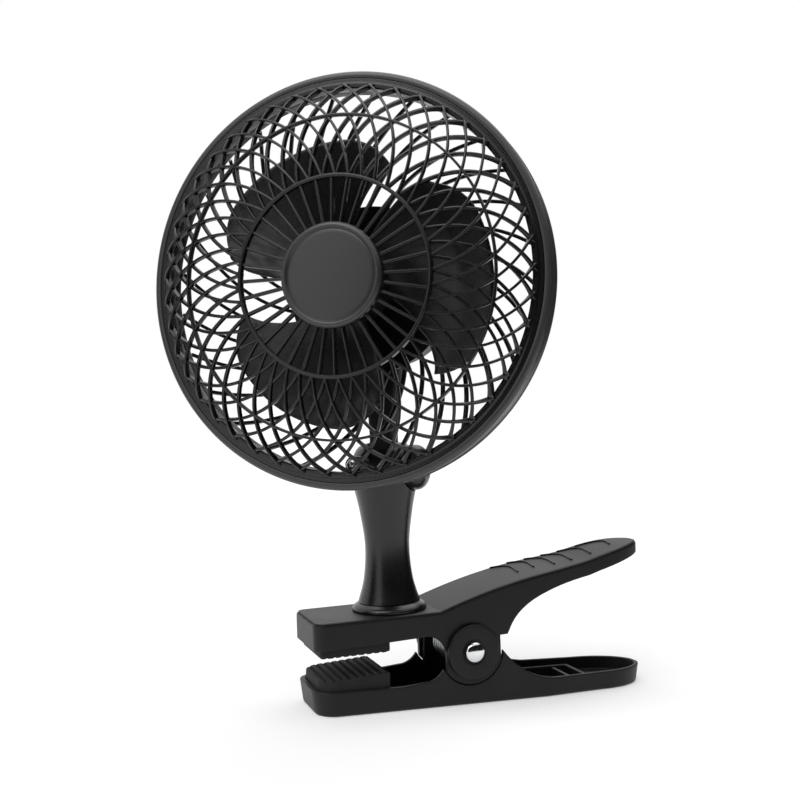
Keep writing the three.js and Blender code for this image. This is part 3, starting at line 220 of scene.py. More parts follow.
def circle(radius: float, sides: int) -> Array:
    """A round outline (sides, 2): radius cos a, radius sin a."""
    angle = np.arange(sides) * TAU / sides
    return radius * np.stack([np.cos(angle), np.sin(angle)], -1)


def bezier(points: list[Span], steps: int = 60) -> Array:
    """A Bezier curve in the plane, (steps, 2), from its three or four control points."""
    control = np.array(points, float)
    t = np.linspace(0, 1, steps)[:, None]
    while len(control) > 1:
        control = [a + (b - a) * t for a, b in zip(control[:-1], control[1:])]
    return control[0]


def catmull(marks: Array, steps: int) -> Array:
    """A curve through marks: cubics whose slopes are half the gap between both neighbours.

    Args:
        marks: Points (k, 2).
        steps: Points on each stretch.

    Returns:
        Points ((k - 1) * steps + 1, 2).
    """
    ends = np.concatenate([marks[:1], marks, marks[-1:]])
    slopes = (ends[2:] - ends[:-2]) / 2
    t = np.linspace(0, 1, steps, endpoint=False)[:, None]
    parts = [
        marks[i] * (2 * t**3 - 3 * t**2 + 1) + slopes[i] * (t**3 - 2 * t**2 + t)
        + marks[i + 1] * (3 * t**2 - 2 * t**3) + slopes[i + 1] * (t**3 - t**2)
        for i in range(len(marks) - 1)
    ]
    return np.concatenate([*parts, marks[-1:]])


def eased(distance: Array, reach: float, depth: float) -> Array:
    """An edge's drop: depth (1 - sqrt(1 - (1 - distance / reach)^2)) within reach of it, else 0."""
    return depth * (1 - np.sqrt(1 - np.clip(1 - distance / reach, 0, 1) ** 2))


def copies(points: Array, count: int, first: float = 0.0) -> list[Array]:
    """The same surface turned about Z in equal steps, as a list of arrays."""
    return [placed(points, turn("z", first + 360 * i / count)) for i in range(count)]


def join_grid(rows: int, columns: int, wrap_rows: bool, wrap_columns: bool) -> Array:
    """Four-cornered faces of a grid of points, numbered row by row, as (faces, 4)."""
    row = np.arange(rows if wrap_rows else rows - 1)
    column = np.arange(columns if wrap_columns else columns - 1)
    low, left = np.meshgrid(row, column, indexing="ij")
    high, right = (low + 1) % rows, (left + 1) % columns
    low, high = low * columns, high * columns
    return np.stack([low + left, low + right, high + right, high + left], -1).reshape(-1, 4)


class Shell:
    """Gathers surfaces into one closed mesh."""

    def __init__(self, place: Array = ROW) -> None:
        """Starts empty, in the frame that place gives."""
        self.place = place
        self.points: list[Array] = []
        self.faces: list[list[int]] = []
        self.count = 0

    def grid(
        self, points: Array, wrap: tuple[bool, bool] = (False, True), capped: bool = False
    ) -> "Shell":
        """Adds a grid of points (rows, columns, 3) as faces.

        Args:
            points: The surface's points.
            wrap: Whether the last row joins the first, and the last column the first.
            capped: Whether the first and the last row are closed by a face each.

        Returns:
            This shell.
        """
        rows, columns = points.shape[:2]
        faces = join_grid(rows, columns, *wrap).tolist()
        if capped:
            last = (rows - 1) * columns
            faces += [list(range(columns)), list(range(last, last + columns))]
        self.faces += [[corner + self.count for corner in face] for face in faces]
        self.points.append(points.reshape(-1, 3))
        self.count += rows * columns
        return self

    def turned(
        self, profile: Array, sides: int, place: Array = ROW, flutes: tuple[int, float] = (0, 0.0)
    ) -> "Shell":
        """Adds a closed (radius, height) profile turned about Z, placed in this shell's frame."""
        return self.grid(placed(lathe(profile, sides, flutes), place), (True, True))

    def object(self, name: str) -> bpy.types.Object:
        """Makes the mesh object, doubles merged and faces outwards, in metres."""
        data = bpy.data.meshes.new(name)
        points = placed(np.concatenate(self.points), self.place) * MM
        data.from_pydata(points.tolist(), [], self.faces)
        thing = bpy.data.objects.new(name, data)
        bpy.context.scene.collection.objects.link(thing)
        tidy(data)
        return thing


def tidy(data: bpy.types.Mesh) -> None:
    """Merges doubled points, drops faces without area and turns every face outwards."""
    work = bmesh.new()
    work.from_mesh(data)
    bmesh.ops.remove_doubles(work, verts=work.verts, dist=2e-6)
    bmesh.ops.dissolve_degenerate(work, dist=1e-7, edges=work.edges)
    bmesh.ops.recalc_face_normals(work, faces=work.faces)
    work.to_mesh(data)
    work.free()


def cut(thing: bpy.types.Object, *tools: Shell) -> None:
    """Takes closed shells away from a piece, for good."""
    for i, shell in enumerate(tools):
        tool = shell.object(f"tool_{i}")
        step = thing.modifiers.new("cut", "BOOLEAN")
        step.operation, step.solver, step.object = "DIFFERENCE", "EXACT", tool
        graph = bpy.context.evaluated_depsgraph_get()
        made = bpy.data.meshes.new_from_object(thing.evaluated_get(graph))
        thing.modifiers.clear()
        thing.data = made
        bpy.data.objects.remove(tool)
    step = thing.modifiers.new("even shading", "WEIGHTED_NORMAL")
    step.keep_sharp, step.weight = True, 60


def block(x: Span, y: Span, z: Span, place: Array, soft: float = 0.0) -> Shell:
    """A closed box between three pairs of limits, its upright edges and rims eased by soft."""
    corners = np.array([[x[0], y[0]], [x[1], y[0]], [x[1], y[1]], [x[0], y[1]]], float)
    middle = corners.mean(0)
    rows = []
    for height, inset in ((z[0], soft), (z[0] + soft, 0), (z[1] - soft, 0), (z[1], soft)):
        drawn = corners + np.sign(middle - corners) * inset
        flat = rounded(drawn, max(soft, 1e-4) * 1.5, 4)
        rows.append(np.concatenate([flat, np.full((len(flat), 1), height)], 1))
    return Shell(place).grid(np.array(rows), capped=True)


def cross(reach: float, width: float, depth: Span, place: Array) -> list[Shell]:
    """Cutters for a screw's cross recess: two boxes reach long and width wide to either side."""
    long, thin = (-reach, reach), (-width, width)
    return [block(long, thin, depth, place), block(thin, long, depth, place)]


# ---------------------------------------------------------------- finishes
class Wire:
    """A node's output that takes part in sums and products with numbers and other wires."""

    def __init__(self, sheet: "Sheet", socket: bpy.types.NodeSocket) -> None:
        """Wraps a socket of a sheet."""
        self.sheet, self.socket = sheet, socket

    def _with(self, operation: str, first: "Wire | float", second: "Wire | float") -> "Wire":
        """One Math node on two values."""
        return self.sheet.node("ShaderNodeMath", {"operation": operation}, {0: first, 1: second})

    def __add__(self, other: "Wire | float") -> "Wire":
        """This plus other."""
        return self._with("ADD", self, other)

    def __sub__(self, other: "Wire | float") -> "Wire":
        """This less other."""
        return self._with("SUBTRACT", self, other)

    def __rsub__(self, other: "Wire | float") -> "Wire":
        """Other less this."""
        return self._with("SUBTRACT", other, self)

    def __mul__(self, other: "Wire | float") -> "Wire":
        """This times other."""
        return self._with("MULTIPLY", self, other)

    __radd__ = __add__
    __rmul__ = __mul__


class Sheet:
    """One material's nodes, written as expressions."""

    def __init__(self, name: str, store: bpy.types.bpy_prop_collection | None = None) -> None:
        """Starts an empty material, or an empty block of the store given, such as a world."""
        self.material = (bpy.data.materials if store is None else store).new(name)
        self.material.use_nodes = True
        self.tree = self.material.node_tree
        self.tree.nodes.clear()

    def node(
        self, kind: str, settings: dict | None = None, inputs: dict | None = None,
        output: int | str = 0,
    ) -> Wire:
        """Adds a node.

        Args:
            kind: The node's type.
            settings: Its own settings, set first; stops sets a ramp's (place, grey) pairs.
            inputs: A value or a wire for each named or numbered socket.
            output: The socket to hand back.

        Returns:
            The wire from that socket.
        """
        made = self.tree.nodes.new(kind)
        for key, value in (settings or {}).items():
            if key == "stops":
                for i, (at, grey) in enumerate(value):
                    stop = made.color_ramp.elements[i] if i < 2 else made.color_ramp.elements.new(at)
                    stop.position, stop.color = at, (grey, grey, grey, 1)
            else:
                setattr(made, key, value)
        for key, value in (inputs or {}).items():
            if isinstance(value, Wire):
                self.tree.links.new(value.socket, made.inputs[key])
            else:
                made.inputs[key].default_value = value
        return Wire(self, made.outputs[output])

    def spot(self, scale: Triple = (1, 1, 1), place: Array = ROW) -> Wire:
        """Object coordinates in the frame of place, each axis scaled."""
        where = self.node("ShaderNodeTexCoord", output="Object")
        back = np.linalg.inv(place)
        angles = Matrix(back[:3, :3].tolist()).to_euler()
        moved = back[:3, 3] * MM
        local = self.node(
            "ShaderNodeMapping", {}, {"Vector": where, "Rotation": angles, "Location": moved.tolist()}
        )
        return self.node("ShaderNodeMapping", {}, {"Vector": local, "Scale": scale})

    def noise(self, where: Wire, scale: float, detail: float = 2.0) -> Wire:
        """Soft noise from 0 to 1, with about scale lumps to the metre."""
        return self.node("ShaderNodeTexNoise", {}, {"Vector": where, "Scale": scale, "Detail": detail})

    def blend(self, share: Wire, first: tuple, second: tuple) -> Wire:
        """A colour between two, by share."""
        return self.node(
            "ShaderNodeMix", {"data_type": "RGBA"}, {0: share, 6: (*first, 1), 7: (*second, 1)}, 2
        )

    def seen_by(self, *kinds: str) -> Wire:
        """1 for rays of one of these kinds, else 0."""
        rays = [self.node("ShaderNodeLightPath", output=f"Is {kind} Ray") for kind in kinds]
        seen = rays[0]
        for ray in rays[1:]:
            seen = self.node("ShaderNodeMath", {"operation": "MAXIMUM"}, {0: seen, 1: ray})
        return seen

    def waves(self, way: str, scale: float, distortion: float) -> Wire:
        """Even waves in the head's own frame, from 0 to 1."""
        return self.node(
            "ShaderNodeTexWave", {"bands_direction": way, "wave_profile": "SIN"},
            {"Vector": self.spot(place=HEAD), "Scale": scale, "Distortion": distortion}, "Fac",
        )

    def bump(self, height: Wire, depth: float) -> Wire:
        """A normal that follows a height from 0 to 1, depth metres high."""
        return self.node(
            "ShaderNodeBump", {}, {"Height": height, "Distance": depth, "Strength": 1.0}
        )

    def surface(self, **sockets: "Wire | float | tuple") -> bpy.types.Material:
        """Ends the sheet in one Principled shader; underscores in socket names stand for spaces."""
        named = {key.replace("_", " "): value for key, value in sockets.items()}
        shader = self.node("ShaderNodeBsdfPrincipled", {}, named)
        out = self.tree.nodes.new("ShaderNodeOutputMaterial")
        self.tree.links.new(shader.socket, out.inputs["Surface"])
        return self.material


@dataclass(frozen=True)
class MouldedPlastic:
    """Black plastic from a spark-eroded mould: even grain, slight clouds where it cooled."""

    name: str
    tone: float
    roughness: float
    grain: float  # depth of the mould's texture, metres
    specular: float = 0.5

    def make(self) -> bpy.types.Material:
        """Builds the material."""
        sheet = Sheet(self.name)
        where = sheet.spot()
        grain = sheet.noise(where, 3600, 2.5)
        pits = sheet.node("ShaderNodeTexVoronoi", {}, {"Vector": where, "Scale": 2300}, "Distance")
        cloud = sheet.noise(where, 34, 3)
        flow = sheet.noise(sheet.spot((1, 6, 1)), 60, 2)
        dust = sheet.node(
            "ShaderNodeValToRGB", {"stops": [(0.62, 0), (0.8, 1)]}, {0: sheet.noise(where, 900, 1)}
        )
        shade = cloud * 0.7 + flow * 0.3
        dark, light = self.tone * 0.86, self.tone * 1.16
        colour = sheet.blend(shade, (dark, dark, dark * 1.02), (light, light, light * 1.03))
        rough = (cloud - 0.5) * 0.12 + (grain - 0.5) * 0.14 + dust * 0.03 + self.roughness
        normal = sheet.bump(grain * 0.7 + pits * 0.5, self.grain)
        return sheet.surface(
            Base_Color=colour, Roughness=rough, Normal=normal, Specular_IOR_Level=self.specular
        )


@dataclass(frozen=True)
class Rubber:
    """Soft black rubber: dry, with fine pores and a little bloom on its high spots."""

    name: str = "grip_rubber"

    def make(self) -> bpy.types.Material:
        """Builds the material."""
        sheet = Sheet(self.name)
        where = sheet.spot()
        pores = sheet.noise(where, 2400, 3)
        bloom = sheet.noise(where, 140, 4)
        colour = sheet.blend(bloom, (0.010, 0.010, 0.0105), (0.021, 0.021, 0.021))
        rough = (pores - 0.5) * 0.16 + (bloom - 0.5) * 0.1 + 0.74
        return sheet.surface(
            Base_Color=colour, Roughness=rough, Normal=sheet.bump(pores, 0.00006), Specular_IOR_Level=0.3
        )


@dataclass(frozen=True)
class Metal:
    """Plated or turned metal, with faint tool lines and handling marks."""

    name: str
    colour: Triple
    roughness: float
    marks: float
    lines: float = 0.0  # lines to the metre along the head's own axis, for stacked sheets

    def make(self) -> bpy.types.Material:
        """Builds the material."""
        sheet = Sheet(self.name)
        where = sheet.spot()
        smudge = sheet.noise(where, 420, 4)
        fine = sheet.noise(where, 5200, 2)
        dull = tuple(0.72 * part for part in self.colour)
        colour = sheet.blend(smudge, dull, self.colour)
        rough = (smudge - 0.5) * self.marks + (fine - 0.5) * 0.06 + self.roughness
        height = fine * 0.3 + smudge * 0.2
        if self.lines:
            stack = sheet.waves("Z", self.lines / 20, 0.3)
            height, rough = height + stack, rough + stack * 0.1
        return sheet.surface(
            Base_Color=colour, Metallic=1.0, Roughness=rough, Normal=sheet.bump(height, 0.00004)
        )


@dataclass(frozen=True)
class Winding:
    """Enamelled copper wire, wound in close turns."""

    name: str = "copper_winding"

    def make(self) -> bpy.types.Material:
        """Builds the material."""
        sheet = Sheet(self.name)
        turns = sheet.waves("DIAGONAL", 110, 0.6)
        wear = sheet.noise(sheet.spot(), 500, 3)
        # The colour is darker between the turns, painted shade, and lighter on their crests, painted
        # highlight; wear mottles it.
        colour = sheet.blend(turns * 0.7 + wear * 0.3, (0.16, 0.045, 0.018), (0.55, 0.19, 0.075))
        rough = (wear - 0.5) * 0.2 + 0.36
        return sheet.surface(
            Base_Color=colour, Metallic=0.85, Roughness=rough, Normal=sheet.bump(turns, 0.0002)
        )


class Finishes:
    """Every finish of the fan, made once."""

    def __init__(self) -> None:
        """Makes the materials."""
        self.satin = MouldedPlastic("black_satin_plastic", 0.005, 0.26, 0.00002, 0.5).make()
        # A darker, less shiny copy of the black plastic for the rear guard: painted shade on the cage's
        # inside.
        self.shade = MouldedPlastic("black_plastic_painted_shade", 0.004, 0.36, 0.00002, 0.26).make()
        # A lighter copy of the black plastic for the rim band: its raised tone is painted highlight.
        self.rim = MouldedPlastic("black_plastic_painted_highlight", 0.028, 0.36, 0.00002, 0.6).make()
        self.matte = MouldedPlastic("black_matte_plastic", 0.0065, 0.45, 0.00005, 0.3).make()
        self.gloss = MouldedPlastic("black_gloss_plastic", 0.009, 0.28, 0.00002, 0.5).make()
        # A lighter copy of the black plastic for the badge: its raised tone is painted reflected light.
        self.badge = MouldedPlastic("badge_plastic_painted_reflection", 0.026, 0.36, 0.000015, 0.6).make()
        self.rubber = Rubber().make()
        self.chrome = Metal("bright_chrome", (0.86, 0.87, 0.88), 0.1, 0.06).make()
        self.steel = Metal("zinc_steel", (0.46, 0.47, 0.48), 0.36, 0.2).make()
        self.laminations = Metal("stacked_steel", (0.33, 0.33, 0.34), 0.42, 0.2, 1600).make()
        self.copper = Winding().make()
        self.bronze = Metal("sintered_bronze", (0.52, 0.38, 0.17), 0.4, 0.2).make()


@dataclass(frozen=True)
class Bend:
    """A springy piece's first body before start and the other after end; nothing here makes it follow
    them.
    """

    other: Body
    start: Triple  # metres, row frame
    end: Triple


@dataclass
class Bench:
    """Finishes pieces: smooths and dresses each, and hangs each on its body unless it is springy."""

    finishes: Finishes
    crease: float = 34.0  # degrees past which an edge shows

    def piece(
        self, shape: "Shell | bpy.types.Object", name: str, body: Body, slot: Slot,
        finish: bpy.types.Material, *nodes: str, bend: Bend | None = None,
    ) -> bpy.types.Object:
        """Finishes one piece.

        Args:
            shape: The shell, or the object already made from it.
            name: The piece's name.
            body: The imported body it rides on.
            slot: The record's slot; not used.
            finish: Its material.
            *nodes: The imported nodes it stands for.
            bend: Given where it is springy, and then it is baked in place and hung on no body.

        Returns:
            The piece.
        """
        thing = shape.object(name) if isinstance(shape, Shell) else shape
        thing.name = name
        thing.data.materials.clear()
        thing.data.materials.append(finish)
        thing.data.shade_smooth()
        thing.data.set_sharp_from_angle(angle=math.radians(self.crease))
        if bend is None:
            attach(thing, body.value)
        else:
            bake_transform(thing)
        if nodes:
            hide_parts(*nodes)
        LOG.info("%s on %s, %d faces", name, body.value, len(thing.data.polygons))
        return thing

    def keep(self, finish: bpy.types.Material, slot: Slot, *nodes: str) -> None:
        """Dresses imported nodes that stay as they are."""
        for node in nodes:
            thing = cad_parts[node]
            thing.data.materials.clear()
            thing.data.materials.append(finish)
            LOG.info("%s kept", node)


# ---------------------------------------------------------------- clip levers
@dataclass
class Lever:
    """What both clip levers share: the plan seen from above."""

    half: float = 20.5
    wall: float = 2.4
    jaw_front: float = -74.0
    tip: float = 98.5
    taper_start: float = 40.0
    tip_length: float = 28.0
    tip_half: float = 17.5
    throat_x: float = -22.9
    throat_radius: float = 10.5
    pad_front: float = -71.1
    pad_length: float = 32.0
    pad_half: float = 17.6
    ridges: int = 9
    ridge_depth: float = 1.25
    cradle: float = 15.7  # round seat in the lower lever for the upper one's ears
    corner: float = 0.0  # radius of the jaw's front corners

    def plan(self, x: Array, corner: float, inset: float = 0.0) -> Array:
        """Half the lever's width at x: a round front corner, a taper and an elliptic tip."""
        half, tail = self.half - inset, self.tip_half - inset
        start = self.tip - self.tip_length
        front = self.jaw_front + inset
        turn_in = max(corner - min(inset, corner / 2), 0.01)
        width = np.interp(x, [self.taper_start, start], [half, tail])
        away = np.clip((front + turn_in - x) / turn_in, 0, 1)
        width = np.where(x < front + turn_in, half - turn_in + turn_in * np.sqrt(1 - away**2), width)
        past = np.clip((x - start) / (self.tip_length - inset), 0, 1)
        width = np.where(x > start, tail * np.sqrt(1 - past**2), width)
        return np.where((x < front) | (x > self.tip - inset), 0.0, width)

    def stations(self, *steps: float) -> Array:
        """Places along X for sections: even, closer where outlines curve, doubled at each step.

        A section jumps at the steps given and where the plate's thickness changes on both levers.
        """
        spacing, split = 0.9, 0.002
        start = self.tip - self.tip_length
        steps += (self.jaw_front + self.wall, self.tip - self.wall, *self.over_pad())
        fixed = np.array([[step - split, step + split] for step in steps]).ravel()
        swing = np.linspace(0, math.pi / 2, 26)
        parts = [
            np.arange(self.jaw_front + 4, start, spacing),
            self.jaw_front + 9 * (1 - np.cos(swing)),
            start + self.tip_length * np.sin(swing),
            start + (self.tip_length - self.wall) * np.sin(swing),
            self.cradle * np.sin(np.linspace(-math.pi / 2, math.pi / 2, 61)),
            self.throat_x + self.throat_radius * np.sin(np.linspace(-math.pi / 2, math.pi / 2, 41)),
            fixed,
        ]
        x = np.unique(np.round(np.concatenate(parts), 4))
        x = x[(x >= self.jaw_front) & (x <= self.tip)]
        gap = np.abs(x[:, None] - fixed).min(1)
        return x[(gap < 1e-6) | (gap > 10 * split)]

    def over_pad(self) -> Span:
        """Where the plate is thicker: over the pad, less a millimetre at each end."""
        return self.pad_front + 1, self.pad_front + self.pad_length - 1

    def hull(
        self, x: Array, edge: Array, plate: Array, inside: Array, seat: float,
        lean: float, wide: float,
    ) -> Array:
        """The lever's sections: hollow, thicker over the pad and solid at both ends.

        Args:
            x: Places along the lever.
            edge: Height of the cheeks' free edges.
            plate: Height of the plate's outside.
            inside: Height of the plate's inside.
            seat: That height over the pad.
            lean: The cheeks' draft.
            wide: The height at which the lever is widest.

        Returns:
            Points (stations, section, 3).
        """
        first, last = self.over_pad()
        solid = (x < self.jaw_front + self.wall) | (x > self.tip - self.wall)
        hollow = np.where(solid, edge, np.where((x > first) & (x < last), seat, inside))
        outer = self.plan(x, self.corner)
        inner = np.where(solid, outer * 0.6, self.plan(x, self.corner, self.wall))
        return self.sections(x, outer, edge, plate, inner, hollow, lean, wide)

    def sections(
        self, x: Array, outer: Array, edge: Array, plate: Array, inner: Array, hollow: Array,
        lean: float, wide: float,
    ) -> Array:
        """U-shaped sections at each x, with eased edges.

        The cheeks are flat and lean in by lean for each step away from the height wide.

        Args:
            x: Places along the lever.
            outer: Half the outside width.
            edge: Height of the cheeks' free edges.
            plate: Height of the plate's outside.
            inner: Half the inside width.
            hollow: Height of the plate's inside, at the edges where the lever is solid.
            lean: The cheeks' draft.
            wide: The height at which the lever is widest.

        Returns:
            Points (stations, section, 3).
        """
        base = np.maximum(outer - lean * np.abs(plate - wide), 0)
        free = np.maximum(outer - lean * np.abs(edge - wide), 0)
        corners = np.stack(
            [
                np.stack([-free, edge], -1), np.stack([-base, plate], -1),
                np.stack([base, plate], -1), np.stack([free, edge], -1),
                np.stack([inner, edge], -1), np.stack([inner, hollow], -1),
                np.stack([-inner, hollow], -1), np.stack([-inner, edge], -1),
            ],
            axis=1,
        )
        radii = np.array([0.7, 1.9, 1.9, 0.7, 0.7, 0.9, 0.9, 0.7])
        flat = rounded(corners, radii, 6)
        deep = np.broadcast_to(x[:, None], flat.shape[:2])
        return np.stack([deep, flat[..., 0], flat[..., 1]], -1)

    def pad_places(self) -> Array:
        """Places along the pad for its sections."""
        return np.linspace(self.pad_front, self.pad_front + self.pad_length, 190)

    def pad(self, base: float, face: Array, x: Array, up: float) -> Array:
        """A ridged pad as a height over X and Y: face less ridges that fade at the sides.

        Args:
            base: Height of the seated side.
            face: Height of the ridges' tops at each x.
            x: Places along the pad.
            up: 1 where the ridges point up, -1 where down.

        Returns:
            Points (stations, section, 3).
        """
        pitch = self.pad_length / self.ridges
        phase = ((x - self.pad_front) / pitch) % 1
        valley = np.clip(np.minimum(phase - 0.52, 1.06 - phase) / 0.17, 0, 1)
        valley = valley * valley * (3 - 2 * valley)
        reach = np.minimum(self.plan(x, self.corner, self.wall + 0.5), self.pad_half)
        share = np.sin(np.linspace(-math.pi / 2, math.pi / 2, 33))
        y = share[None, :] * reach[:, None]
        inward = reach[:, None] - np.abs(y)
        fade = np.clip(inward / 1.6, 0, 1)
        ends = np.minimum(x - self.pad_front, self.pad_front + self.pad_length - x)
        drop = self.ridge_depth * valley[:, None] * fade
        drop = drop + eased(inward, 0.8, 0.8) + eased(ends, 0.7, 0.7)[:, None]
        z = face[:, None] - up * drop
        deep = np.broadcast_to(x[:, None], y.shape)
        top = np.stack([deep, y, z], -1)
        below = [
            np.stack([x, side * reach, np.full_like(x, base)], -1)[:, None] for side in (1, -1)
        ]
        return np.concatenate([top, *below], 1)


@dataclass
class LowerLever(Lever):
    """The lower jaw and handle: a tray with cheeks that cradle the upper lever's ears."""

    corner: float = 10.5
    jaw_height: float = 11.0
    handle_height: float = 9.0
    shoulder: float = 24.2
    throat_z: float = 22.6
    seat: float = 7.5
    lug: float = 11.0
    front_lean: float = 0.16  # how far the front draws in for each step below the jaw's height
    tail_lean: float = 0.14  # the same for the handle's tail

    def edge(self, x: Array) -> Array:
        """Height of the cheeks: jaw, throat, cradle, a falling curve and the handle's rim."""
        middle, radius = self.throat_x, self.throat_radius
        throat = self.throat_z - np.sqrt(np.maximum(radius**2 - (x - middle) ** 2, 0))
        height = np.interp(x, [middle - radius, middle], [self.jaw_height, self.throat_z - radius])
        height = np.where((x > middle) & (x < middle + radius), throat, height)
        height = np.where(x >= middle + radius, self.shoulder, height)
        fall = bezier([(self.cradle, self.shoulder), (26.9, 10.2), (43.4, self.handle_height)])
        height = np.where(x > self.cradle, np.interp(x, fall[:, 0], fall[:, 1]), height)
        round_seat = PIVOT_HEIGHT - np.sqrt(np.maximum(self.cradle**2 - x**2, 0))
        height = np.where(np.abs(x) < self.cradle, np.minimum(height, round_seat), height)
        return height - eased(self.tip - x, 1.2, 0.6)

    def body(self) -> Shell:
        """The tray: U-shaped sections, solid at both ends, raised under the pad."""
        x = self.stations(self.cradle)
        plate = eased(np.minimum(x - self.jaw_front, self.tip - x), 1.4, 1.4)
        inside = np.full_like(x, self.wall)
        points = self.hull(x, self.edge(x), plate, inside, self.seat, 0.03, 24)
        drop = np.clip(self.jaw_height - points[..., 2], 0, None)
        front_start, tail_start, fade = -60, 84, 14
        along = points[..., 0]
        along += self.front_lean * drop * np.clip((front_start - along) / fade, 0, 1)
        along -= self.tail_lean * drop * np.clip((along - tail_start) / fade, 0, 1)
        return Shell(ROW).grid(points, capped=True)

    def inner_lug(self, side: float) -> Shell:
        """A round-topped lug inside each cheek: an outline in X and Z, 2.4 thick, eased."""
        angle = np.linspace(0, math.pi, 41)
        arc = np.stack([self.lug * np.cos(angle), PIVOT_HEIGHT + self.lug * np.sin(angle)], -1)
        outline = np.concatenate([arc, [[-self.lug, 1.4], [self.lug, 1.4]]])
        middle = np.array([0.0, PIVOT_HEIGHT - 6])
        rows = []
        for y, inset in ((15.2, 0.5), (15.7, 0.0), (17.1, 0.0), (17.6, 0.5)):
            toward = middle - outline
            drawn = outline + toward * (inset / np.linalg.norm(toward, axis=1))[:, None]
            rows.append(np.stack([drawn[:, 0], np.full(len(drawn), side * y), drawn[:, 1]], -1))
        return Shell(ROW).grid(np.array(rows), capped=True)

    def tray_box(self) -> Shell:
        """The open box moulded in the handle's tray; the wall across it is made on its own."""
        front, back, half, wall = 35.0, 65.0, 11.5, 1.6
        foot, top, ease = 1.3, 6.95, 0.35
        middle = np.array([(front + back) / 2, 0.0])
        outer = rounded(np.array([[front, -half], [back, -half], [back, half], [front, half]]), 1.6, 6)
        inner = middle + (outer - middle) * (1 - wall / np.array([(back - front) / 2, half]))

        def lifted(flat: Array, height: float, inset: float) -> Array:
            """An outline at a height, drawn in towards its middle."""
            drawn = flat + np.sign(middle - flat) * inset
            return np.concatenate([drawn, np.full((len(flat), 1), height)], 1)

        rows = [
            lifted(outer, foot, 0), lifted(outer, top - ease, 0), lifted(outer, top, ease),
            lifted(inner, top, -ease), lifted(inner, top - ease, 0), lifted(inner, self.wall, 0),
            lifted(inner, foot, 0),
        ]
        return Shell(ROW).grid(np.array(rows), (True, True))

    def make(self, bench: Bench) -> None:
        """Makes the lower lever and what it carries."""
        finishes = bench.finishes
        plastic = (Body.LOWER, Slot.PLASTIC, finishes.matte)
        bench.piece(self.body(), "lower_lever_tray", *plastic, "lower_jaw")
        for name, side in (("near", -1), ("far", 1)):
            bench.piece(self.inner_lug(side), f"inner_lug_{name}", *plastic)
        bench.piece(self.tray_box(), "handle_tray_box", *plastic)
        wall = block((55.5, 57.1), (-10.6, 10.6), (1.5, 6.2), ROW, 0.2)
        bench.piece(wall, "handle_tray_wall", *plastic)
        x = self.pad_places()
        face = np.interp(x, [x[0], x[-1]], [15.2, 18.0])
        pad = Shell(ROW).grid(self.pad(7.8, face, x, 1), capped=True)
        bench.piece(pad, "lower_grip_pad", Body.LOWER, Slot.RUBBER, finishes.rubber, "lower_pad")


